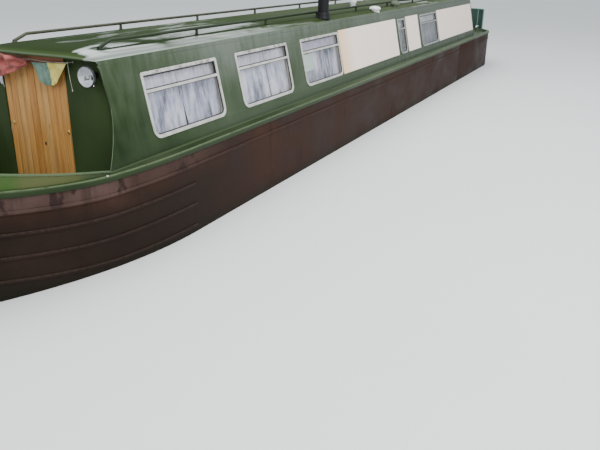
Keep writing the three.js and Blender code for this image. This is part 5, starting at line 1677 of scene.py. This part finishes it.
def makeCoaming(c):
    start, steps = c["from"], c["steps"]
    rings, wearAndLight = [], []
    for u in [start + (1 - start) * k / steps for k in range(steps + 1)]:
        foot = bowHeight(u) + 0.0007
        top = bowHeight(u) + c["height"][0] + c["height"][1] * min(1.0, max(0.0, (u - start) / 0.3)) ** 0.8
        inset = c["inset"][0] - c["inset"][1] * min(1.0, (u - start) / 0.14)
        edge = [(d, top - drop, wear) for d, drop, wear in c["section"]]
        section = [(0.0, foot, 0.0), *edge, (0.009, foot, 0.0)]
        rings.append([Vector((*bowPoint(u, inset + d), z)) for d, z, _ in section])
        wearAndLight.append([wear for _, _, wear in section])
    wearAndLightPiece(
        "coamingPlate", [loftFaces(bothSides(rings))], "coaming", bothSidesWearAndLight(wearAndLight), slot="cabin_paint",
        replaced=["bow_coaming"],
    )


makeCoaming(coamingSetup)
print("hull and decks faired")

# CAD nodes whose shape is right as it is get their sharp edges rounded and their facets smoothed


def refined(name, finish, bevel, **rest):
    made = bmesh.new()
    made.from_mesh(nodes[name].data)
    bmesh.ops.remove_doubles(made, verts=made.verts, dist=2e-5)
    bmesh.ops.dissolve_limit(made, angle_limit=math.radians(0.5), verts=made.verts, edges=made.edges)
    sharp = [e for e in made.edges if len(e.link_faces) == 2 and e.calc_face_angle(0.0) > math.radians(32)]
    if bevel:
        bevelled(made, sharp, bevel, 2, clamp_overlap=True)
    mesh = bpy.data.meshes.new(name + "Smooth")
    made.to_mesh(mesh)
    made.free()
    return settle(bpy.data.objects.new(name + "Smooth", mesh), finish, replaced=[name], **rest)


def linedWith(obj, finish, low, share=0.35):
    # the faces that look inboard or up from within the hull carry the deck's paint
    obj.data.materials.append(finishes[finish])
    for face in obj.data.polygons:
        x, y, z = face.center
        past = min(0.0, x - hullSetup["counterStart"]) if x < 0 else max(0.0, x - hullSetup["bowStart"]) * 0.3
        out = Vector((past, y, 0.0))
        if z > low and out.length > 0.05 and face.normal.dot(out.normalized()) < -share:
            face.material_index = len(obj.data.materials) - 1
    obj.data.update()


linedWith(bpy.data.objects["bowPlating"], "bulkhead", 0.62)

refinedNodes = {
    # finish, rounding of the edges, body
    "baseplate": ("hull", 0.002, "hull"),
    "stern_shell": ("hull", 0.003, "hull"),
    "stem_bar": ("hull", 0.003, "hull"),
    "skeg": ("hull", 0.003, "hull"),
    "well_deck_floor": ("floorGreen", 0.002, "hull"),
    "foredeck": ("floorGreen", 0.002, "hull"),
    "front_bulkhead": ("bulkhead", 0.002, "hull"),
    "rear_bulkhead": ("bulkhead", 0.002, "hull"),
    "stern_deck": ("floorGreen", 0.002, "hull"),
    "stern_tube": ("steel", 0.002, "hull"),
    "engine_block": ("engine", 0.012, "hull"),
    "cabin_floor": ("ply", 0.002, "hull"),
    "rudder_blade": ("hull", 0.003, "rudder"),
    "tiller_arm": ("railGreen", 0.0, "rudder"),
    "propeller": ("bronze", 0.001, "screw"),
    "gas_locker_lid": ("floorGreen", 0.003, "locker_lid"),
    "engine_hatch": ("floorGreen", 0.003, "deck_lid"),
    "sliding_hatch": ("railGreen", 0.003, "roof_hatch"),
    "rear_door_port": ("bulkhead", 0.003, "stern_leaf_port"),
    "rear_door_starboard": ("bulkhead", 0.003, "stern_leaf_starboard"),
}
for name, (finish, bevel, body) in refinedNodes.items():
    made = refined(name, finish, bevel, body=body)
    if name == "stern_shell":
        linedWith(made, "floorGreen", 0.3)

# Cabin sides, with a painted highlight on the thin wing's edge and the butt welds in the plating

wingSetup = {
    "edge": [
        (0.158, 0.0), (0.079, 0.137), (0.025, 0.25), (-0.016, 0.367), (-0.038, 0.471), (-0.04, 0.569),
        (-0.03, 0.693), (-0.022, 0.813), (-0.002, 0.844),
    ],
    "bead": 0.0038,
    "foot": 0.006,
    "paleTo": 0.5,  # the bead is painted lit below here and painted in shade from here up
    "head": 0.836,
    "welds": [-1.78, -5.05, 2.02],
}


def wingLine(side, low, high, steps):
    edge = wingSetup["edge"]
    out = []
    for k in range(steps + 1):
        z = low + (high - low) * k / steps
        i = max(j for j in range(len(edge) - 1) if edge[j][1] <= z)
        (xa, za), (xb, zb) = edge[i], edge[i + 1]
        before, after = edge[max(0, i - 1)], edge[min(len(edge) - 1, i + 2)]
        t = (z - za) / (zb - za)
        slopeA = (xb - before[0]) / (zb - before[1]) * (zb - za)
        slopeB = (after[0] - xa) / (after[1] - za) * (zb - za)
        x = (2 * t**3 - 3 * t**2 + 1) * xa + (3 * t**2 - 2 * t**3) * xb
        x += (t**3 - 2 * t**2 + t) * slopeA + (t**3 - t**2) * slopeB
        out.append(sidePoint(side, boat["cabinFront"] + x, z, 0.005))
    return out


def makeCabinSide(side):
    w, name = wingSetup, sideName[side]
    refined(f"cabin_side_{name}", "cabin", 0.0012, slot="cabin_paint")
    low = sweptFaces(wingLine(side, w["foot"], w["paleTo"], 30), w["bead"], 10)
    high = sweptFaces(wingLine(side, w["paleTo"], w["head"], 20), w["bead"] * 0.9, 10)
    # a pale bead paints the highlight on the wing's lower edge, a darker one the shade on its upper edge
    piece(f"wingBead_{name}", [low], "wingEdgeHighlight", slot="cabin_paint")
    piece(f"wingBeadHigh_{name}", [high], "railGreen", slot="cabin_paint")
    welds = []
    for x in w["welds"]:
        wobble = [x + 0.0012 * noise.noise(Vector((x, k * 0.9, side))) for k in range(25)]
        line = [sidePoint(side, at, 0.768 + 0.074 * k / 24, -0.0003) for k, at in enumerate(wobble)]
        welds.append(sweptFaces(line, 0.0016, 6))
    piece(f"sideWelds_{name}", welds, "cabin", slot="cabin_paint")


for side in (1, -1):
    makeCabinSide(side)
print("cabin sides made")

# Roof: one smooth skin with a rounded front lip, the hatch opening, its runners and coaming

roofSetup = {
    "half": 0.732,
    "thickness": 0.045,
    "bow": 0.08,
    "drop": 0.26,
    # the turned-down front: distance back, share of the height there
    "falls": [
        (0.0, 0.32), (0.012, 0.375), (0.028, 0.455), (0.05, 0.56), (0.083, 0.68), (0.12, 0.8),
        (0.155, 0.88), (0.19, 0.94), (0.225, 0.978), (0.26, 1.0),
    ],
    "stations": (5.6, 4.4, 3.0, 1.5, 0.0, -1.5, -3.0, -4.5, -5.885, -6.2, -6.525),
    "halfRow": [
        0.732, 0.7315, 0.7295, 0.726, 0.715, 0.7, 0.675, 0.64, 0.6, 0.55, 0.5, 0.44, 0.38, 0.32, 0.24,
        0.16, 0.08,
    ],
    "edgeDrop": {0.732: 0.006, 0.7315: 0.0025, 0.7295: 0.0006},  # rounds the side's edge
    "openingFront": -5.885,
    "openingHalf": 0.32,
    "lip": 0.015,  # thin front edge, ahead of the thicker slab behind it
    "setBack": 0.012,
    "thinRows": 4,
    "nose": [(0.0015, -0.0015), (0.005, -0.0028), (0.01, -0.002), (0.015, 0.001)],
    "runners": (0.345, 0.367),
    "runnersTo": -5.205,
    "runnerTop": 2.329,
    "coamingTo": -5.871,
    "coamingTop": 2.321,
    "sunk": 0.02,
}


def roofPoint(y, back, fall, drop=0.0, retreat=0.0):
    r = roofSetup
    x = boat["cabinFront"] - back
    if back < r["drop"]:
        x += r["bow"] * (1 - (y / r["half"]) ** 2) * (1 - back / r["drop"])
    low = boat["gunwale"] + boat["eaves"]
    return Vector((x - retreat, y, low + (roofTop(y) - low) * fall - drop))


def roofPoints(r, rows, across, fore):
    # above and below the skin, but not in the hatch opening
    points, wearAndLight, index = [], [], {}
    for i, (back, fall) in enumerate(rows):
        for j, y in enumerate(across):
            if i >= fore and abs(y) < r["openingHalf"] - 1e-6:
                continue
            for level in (0, 1):
                under = r["lip"] + 0.001 if i < r["thinRows"] else r["thickness"]
                drop = under if level else r["edgeDrop"].get(abs(y), 0.0)
                retreat = r["setBack"] if level and i == 0 else 0.0
                index[i, j, level] = len(points)
                points.append(roofPoint(y, back, fall, drop, retreat))
                wearAndLight.append(1.0 if i < 2 and not level else 0.0)
    return points, wearAndLight, index


def addNose(r, across, points, wearAndLight):
    # the front edge: a rounded nose, the thin lip's underside, then the slab set back behind it
    front = []
    for y in across:
        front.append([])
        for k, (drop, retreat) in enumerate([*r["nose"], (r["lip"] + 0.0004, r["setBack"])]):
            front[-1].append(len(points))
            edge = r["edgeDrop"].get(abs(y), 0.0)
            points.append(roofPoint(y, 0.0, r["falls"][0][1], drop + edge, retreat))
            wearAndLight.append(1.0 if k < 2 else 0.3 if k == 2 else 0.0)
    return front


def roofFaces(r, rows, across, fore, index, front):
    last, end = len(across) - 1, len(rows) - 1
    inner = [j for j, y in enumerate(across) if abs(abs(y) - r["openingHalf"]) < 1e-6]
    faces = []

    def wall(i, j, otherRow, otherColumn):
        faces.append((
            index[i, j, 0], index[i, j, 1], index[otherRow, otherColumn, 1], index[otherRow, otherColumn, 0],
        ))

    def chain(j):
        return [index[0, j, 0], *front[j], index[0, j, 1]]

    for i in range(end):
        for j in range(last):
            for level in (0, 1):
                corners = [(i, j, level), (i, j + 1, level), (i + 1, j + 1, level), (i + 1, j, level)]
                if all(c in index for c in corners):
                    faces.append(tuple(index[c] for c in corners))
        for j in (0, last):
            wall(i, j, i + 1, j)
    for i in range(fore - 1, end):
        for j in inner:
            wall(i, j, i + 1, j)
    for j in range(last):
        this, other = chain(j), chain(j + 1)
        faces += zip(this, this[1:], other[1:], other)
        if inner[0] <= j < inner[1]:
            wall(fore - 1, j, fore - 1, j + 1)
        elif (end, j, 0) in index and (end, j + 1, 0) in index:
            wall(end, j, end, j + 1)
    for j in (0, last):
        faces.append(tuple(chain(j)))
    return faces


def hatchRunners(r):
    near, far = r["runners"]
    aft, front, half, sunk = r["stations"][-1], r["openingFront"], r["openingHalf"], r["sunk"]
    parts = []
    for side in (1, -1):
        low, high = sorted((side * near, side * far))
        corner = (r["runnersTo"], high, r["runnerTop"])
        parts.append(blockFaces((aft, low, roofTop(near) - sunk), corner, 0.003))
    corner = (r["coamingTo"], half, r["coamingTop"])
    return parts + [blockFaces((front, -half, roofTop(0) - sunk), corner, 0.003)]


def makeRoof(r):
    across = r["halfRow"] + [0.0] + [-y for y in reversed(r["halfRow"])]
    rows = r["falls"] + [(boat["cabinFront"] - x, 1.0) for x in r["stations"]]
    fore = len(r["falls"]) + r["stations"].index(r["openingFront"]) + 1
    points, wearAndLight, index = roofPoints(r, rows, across, fore)
    front = addNose(r, across, points, wearAndLight)
    faces = roofFaces(r, rows, across, fore, index, front)
    runners = hatchRunners(r)
    wearAndLight += [0.0] * sum(len(part[0]) for part in runners)
    wearAndLightPiece("roofSkin", [(points, faces), *runners], "roof", wearAndLight, slot="cabin_paint", replaced=["roof"])


makeRoof(roofSetup)
print("roof made")

# Pennants on a line under the roof's front edge, and the line's loose end

buntingSetup = {
    "x": 6.595,
    "z": 2.186,
    "ends": (0.402, -0.655),
    "thread": 0.0023,
    "dips": [(0.01, 0.39, 0.45), (0.012, -0.06, 0.55)],  # depth, start and width of each sag
    "knots": [(0.388, 0.0005), (0.379, 0.003), (-0.035, 0.006), (-0.062, 0.001), (-0.4, 0.01)],
    "knot": [(0, -0.006), (0.005, -0.004), (0.0062, 0.0), (0.005, 0.004), (0, 0.006)],
    "eye": [(0, 0), (0.009, 0), (0.009, 0.0015), (0.004, 0.003), (0.0035, 0.01), (0, 0.011)],
    "teal": {
        "from": [
            (-0.031, 2.163), (0.004, 2.1), (0.024, 2.052), (0.041, 2.012), (0.072, 1.988), (0.113, 1.975),
        ],
        "to": [(0.163, 2.169), (0.17, 2.12), (0.176, 2.08), (0.182, 2.04), (0.188, 2.005), (0.191, 1.979)],
    },
    "yellow": {
        "from": [(0.16, 2.171), (0.168, 2.12), (0.174, 2.08), (0.18, 2.04), (0.187, 2.005), (0.193, 1.98)],
        "to": [(0.379, 2.18), (0.35, 2.138), (0.32, 2.098), (0.29, 2.056), (0.259, 2.014), (0.222, 1.984)],
    },
    "cloth": 0.0008,
}


def along(line, t):
    place = t * (len(line) - 1)
    i = min(int(place), len(line) - 2)
    return Vector(line[i]).lerp(Vector(line[i + 1]), place - i)


def clothPiece(name, at, size, finish):
    across, down = size
    grid = [[at(a / across, d / down) for a in range(across + 1)] for d in range(down + 1)]
    cloth = meshObject(name, [p for row in grid for p in row], gridFaces(across, down))
    flat = [
        max(sum((b - a).length for a, b in zip(line, line[1:])) for line in lines)
        for lines in (grid, list(zip(*grid)))
    ]
    settle(thickened(cloth, buntingSetup["cloth"]), finish, slot="flag_cloth", smooth=80)
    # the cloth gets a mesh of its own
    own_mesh(cloth)
    return cloth


def makeThread(b):
    fore, aft = b["ends"]
    wall = boat["frontFace"]
    bend, start, end = b["x"] - 0.012, fore - 0.014, aft + 0.014
    line = [(wall + 0.0004, fore, b["z"]), (bend, fore, b["z"])]
    steps = 26
    for k in range(steps + 1):
        y = start + (end - start) * k / steps
        dips = [
            deep * math.sin(math.pi * min(1.0, max(0.0, (origin - y) / wide)))
            for deep, origin, wide in b["dips"]
        ]
        line.append((b["x"], y, b["z"] - sum(dips)))
    line += [(bend, aft, b["z"]), (wall + 0.0004, aft, b["z"])]
    route = filleted(line[:3], 0.01, 3) + line[3:-2] + filleted(line[-3:], 0.01, 3)[1:]
    parts = [sweptFaces(route, b["thread"], 8)]
    for y, drop in b["knots"]:
        parts.append(turnedFaces(b["knot"], (b["x"], y, b["z"] - drop), (0.3, 1, 0.4), 10))
    for y in b["ends"]:
        parts.append(turnedFaces(b["eye"], (wall + 0.0003, y, b["z"]), (1, 0, 0), 14))
    return piece("buntingLine", parts, "string", slot="flag_cloth", replaced=["bunting"])


def makePennants(b):
    thread = makeThread(b)

    def ruled(shape, lift, seed):
        def at(a, d):
            edge, other = along(shape["from"], d), along(shape["to"], d)
            p = edge.lerp(other, a)
            ripple = 0.01 * noise.noise(Vector((a * 4, d * 4, seed)))
            fold = 0.006 * math.sin(9 * a + 2 * d + seed) * (0.3 + d) + ripple
            return Vector((b["x"] + lift + fold, p.x, p.y - 0.004 * math.sin(math.pi * a) * (1 - d)))

        return at

    for name, lift, seed in (("teal", 0.003, 1.3), ("yellow", 0.008, 4.1)):
        shape = ruled(b[name], lift, seed)
        clothPiece(f"{name}Pennant", shape, (26, 22), f"{name}Cloth")

    # the next one has blown up over the line and hangs crumpled in front of the roof's edge
    def crumpled(a, d):
        top = Vector((-0.06 - 0.26 * a, 2.178 + 0.072 * min(1.0, a * 1.5) - 0.016 * a))
        foot = Vector((-0.082 - 0.3 * a, 2.134 - 0.118 * a ** 0.75))
        p = top.lerp(foot, d)
        wave = noise.noise(Vector((a * 5.0, d * 3.5, 2.0)))
        ridge = 0.016 * math.sin(14 * a + 5 * d) * (0.4 + 0.6 * a)
        out = 0.12 * min(1.0, a * 2.0) * (1 - 0.55 * d) + 0.022 * wave + ridge
        flutter = 0.01 * noise.noise(Vector((a * 6, 4.0, d * 4)))
        return Vector((b["x"] + 0.012 + out, p.x + 0.01 * wave, p.y + flutter))

    clothPiece("pinkPennant", crumpled, (44, 26), "pinkCloth")

    def pale(a, d):
        y = -0.398 - 0.21 * a * (1 - 0.75 * d)
        z = 2.178 - 0.265 * d * (1 - 0.25 * a)
        fold = 0.009 * math.sin(8 * a + 3 * d) + 0.01 * noise.noise(Vector((a * 4, d * 4, 7.7)))
        return Vector((b["x"] + 0.01 + fold, y, z))

    clothPiece("whitePennant", pale, (24, 26), "whiteCloth")


makePennants(buntingSetup)

tailSetup = {
    "route": [
        (0.388, 2.1817), (0.388, 2.168), (0.3883, 2.153), (0.3889, 2.138), (0.3898, 2.123), (0.3908, 2.108),
        (0.3921, 2.093), (0.3935, 2.078), (0.3951, 2.063), (0.3969, 2.048), (0.3988, 2.033), (0.4009, 2.018),
        (0.4031, 2.003), (0.4054, 1.988), (0.4078, 1.973), (0.4103, 1.958),
    ],
    "diameter": 0.005,
    "knot": [
        (0, 0.0), (0.0028, -0.0004), (0.0052, -0.003), (0.006, -0.0065), (0.0052, -0.0095),
        (0.0034, -0.0118), (0, -0.0125),
    ],
}


def makeTail(t):
    route = [Vector((buntingSetup["x"], y, z)) for y, z in t["route"]]
    radius = t["diameter"] / 2
    reach = [(g, radius * (0.9 + 0.1 * math.cos(3 * g))) for g in around(18)]  # three strands
    strands = [(r * math.cos(g), r * math.sin(g)) for g, r in reach]
    rope = sweptFaces(route, radius, section=strands)
    tail = piece("lineTail", [rope], "string", slot="flag_cloth", replaced=["bunting_tail"])
    end = turnedFaces(t["knot"], route[-1] - Vector((0, 0, 0.0011)), sides=16)
    knot = piece("lineTailKnot", [end], "string", slot="flag_cloth", replaced=["bunting_tail_knot"])


makeTail(tailSetup)
print("pennants hung")

# A card behind the third window, the gunwale's stud, the head over the front doors, the roof's edges

trimSetup = {
    "cardX": (2.64, 2.872),
    "cardZ": (0.318, 0.53),
    "cardDepths": (0.0205, 0.0211),
    "stud": (6.86, 0.955),
    "studProfile": [
        (0, 0.0004), (0.01, 0.0004), (0.0105, 0.003), (0.008, 0.008), (0.004, 0.01), (0, 0.011),
    ],
    "doorHead": ((6.5503, -0.466, 2.1695), (6.559, 0.301, 2.215)),
    "roofEdge": [(0.7322, 2.185), (0.7335, 2.1855), (0.7335, 2.2195), (0.7322, 2.2228)],
    "roofEdgeStations": (-6.5235, -3.0, 0.0, 3.0, 6.612),
}


def makeTrim(t):
    (aft, fore), (low, high) = t["cardX"], t["cardZ"]
    corners = [(aft, low + 0.004), (fore, low), (fore - 0.004, high), (aft - 0.002, high - 0.003)]
    card = loftFaces([[sidePoint(1, x, z, depth) for x, z in corners] for depth in t["cardDepths"]])
    piece("windowCard", [card], "card", slot="white_paint")
    x, y = t["stud"]
    stud = turnedFaces(t["studProfile"], (x, y, sheerAt(x) + boat["gunwale"]), sides=18)
    piece("gunwaleStud", [stud], "aluminium")
    # the head board's darker red is stained wood and painted shade under the roof's lip
    piece("doorHead", [blockFaces(*t["doorHead"], 0.0015)], "stain", slot="pine")
    for side in (1, -1):
        rings = [[Vector((x, side * y, z)) for y, z in t["roofEdge"]] for x in t["roofEdgeStations"]]
        piece(f"roofEdge_{sideName[side]}", [loftFaces(rings)], "cabin", slot="cabin_paint")


makeTrim(trimSetup)

# Stern: the short rail with its sheet, the dollies' heads and the tiller's wooden grip

sternSetup = {
    "inset": 0.032,
    "sweep": 0.5,
    "top": 1.84,
    "rail": 0.018,
    "post": 0.016,
    "posts": (0.5, 0.36),
    "sheet": 0.003,
    "postFoot": [(0, 0), (0.03, 0), (0.03, 0.004), (0.024, 0.006)],
    "railEnd": [(0, -0.004), (0.012, -0.004), (0.0178, 0.0), (0.012, 0.01), (0, 0.013)],
}


def makeSternRail(t):
    steps = 16
    half = [t["sweep"] * (1 - k / steps) for k in range(steps + 1)]
    line = [counterPlace(share, t["inset"], t["top"]) for share in half]
    line += mirrored(line[-2::-1])
    foot = boat["gunwale"] + 0.0005
    post = [(radius, foot + up) for radius, up in (*t["postFoot"], (t["post"], 0.01))]
    post += [(t["post"], t["top"]), (0, t["top"])]
    parts = [sweptFaces(line, t["rail"], 16)]
    for share in t["posts"]:
        for side in (1, -1):
            x, y, _ = counterPlace(share, t["inset"], 0.0)
            parts.append(turnedFaces(post, (x, side * y, 0.0), sides=16))
    for end, axis in ((line[0], (1, 0.9, 0)), (line[-1], (1, -0.9, 0))):
        parts.append(turnedFaces(t["railEnd"], end, axis, 16))
    piece("sternRail", parts, "paleTeal", slot="stern_trim_paint", replaced=["stern_rail"])
    low, high = foot + 0.0005, t["top"] - 0.004
    sheet = []
    for p in line:
        out = Vector((p.x - hullSetup["counterStart"], p.y, 0)).normalized() * t["sheet"]
        faces = ((low, 1), (high, 1), (high, -1), (low, -1))
        sheet.append([Vector((p.x, p.y, z)) + out * way for z, way in faces])
    piece("sternSheet", [loftFaces(sheet)], "teal", slot="stern_trim_paint")


makeSternRail(sternSetup)

dollySetup = {
    "at": (-8.18, 0.62, 1.28),
    "bar": [(0, -0.111), (0.0188, -0.111), (0.0194, -0.108), (0.0194, 0.108), (0.0188, 0.111), (0, 0.111)],
    "barUp": 0.13,
    "cap": [(0, 0.148), (0.0345, 0.148), (0.0345, 0.1505), (0.031, 0.154), (0, 0.1555)],
}


def makeDolly(side, d):
    x, y, z = d["at"]
    bar = turnedFaces(d["bar"], (x, side * y, z + d["barUp"]), (1, 0, 0), 24)
    cap = turnedFaces(d["cap"], (x, side * y, z), sides=28)
    piece(f"dollyHead_{sideName[side]}", [bar, cap], "white")


for side in (1, -1):
    makeDolly(side, dollySetup)

gripSetup = {
    "ends": ((-7.862, 0.0, 2.17), (-7.47, 0.0, 2.1905)),
    "radius": 0.0198,
    "swell": 0.0042,
    "rounding": 0.006,
    "steps": 24,
}


def makeGrip(g):
    start, end = (Vector(p) for p in g["ends"])
    across = Vector((0, 1, 0))
    up = (end - start).normalized().cross(across)
    rings = []
    for k in range(g["steps"] + 1):
        t = k / g["steps"]
        radius = g["radius"] + g["swell"] * math.sin(math.pi * min(1.0, t * 1.15))
        if k in (0, g["steps"]):
            radius -= g["rounding"]
        centre = start.lerp(end, t)
        arms = [across * radius * math.cos(a) + up * radius * math.sin(a) for a in around(20)]
        rings.append([centre + arm for arm in arms])
    piece("tillerGrip", [loftFaces(rings)], "gripWood", body="rudder")


makeGrip(gripSetup)

# Rear doors: two raised panels and a pull on each leaf

rearSetup = {"margin": 0.055, "rise": 0.006, "split": 0.55, "rail": 0.022, "pull": (0.03, 0.02, 0.07)}


def makeRearTrim(r):
    inset, reach, half = r["pull"]
    for side in (1, -1):
        name = sideName[side]
        low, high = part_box(f"rear_door_{name}")
        margin, mid = r["margin"], low[2] + r["split"] * (high[2] - low[2])
        panels = []
        for foot, head in ((low[2] + margin, mid - r["rail"]), (mid + r["rail"], high[2] - margin)):
            corner = (low[0] - boat["seat"], high[1] - margin, head)
            panels.append(blockFaces((low[0] - r["rise"], low[1] + margin, foot), corner, 0.005))
        piece(f"rearPanels_{name}", panels, "railGreen", body=f"stern_leaf_{name}")
        corners = [(0.0005, mid - half), (reach, mid - half), (reach, mid + half), (0.0005, mid + half)]
        line = filleted([(low[0] - out, side * inset, z) for out, z in corners], 0.01, 4)
        piece(f"rearPull_{name}", [sweptFaces(line, 0.005, 10)], "brass", body=f"stern_leaf_{name}")


makeRearTrim(rearSetup)
print("stern dressed")
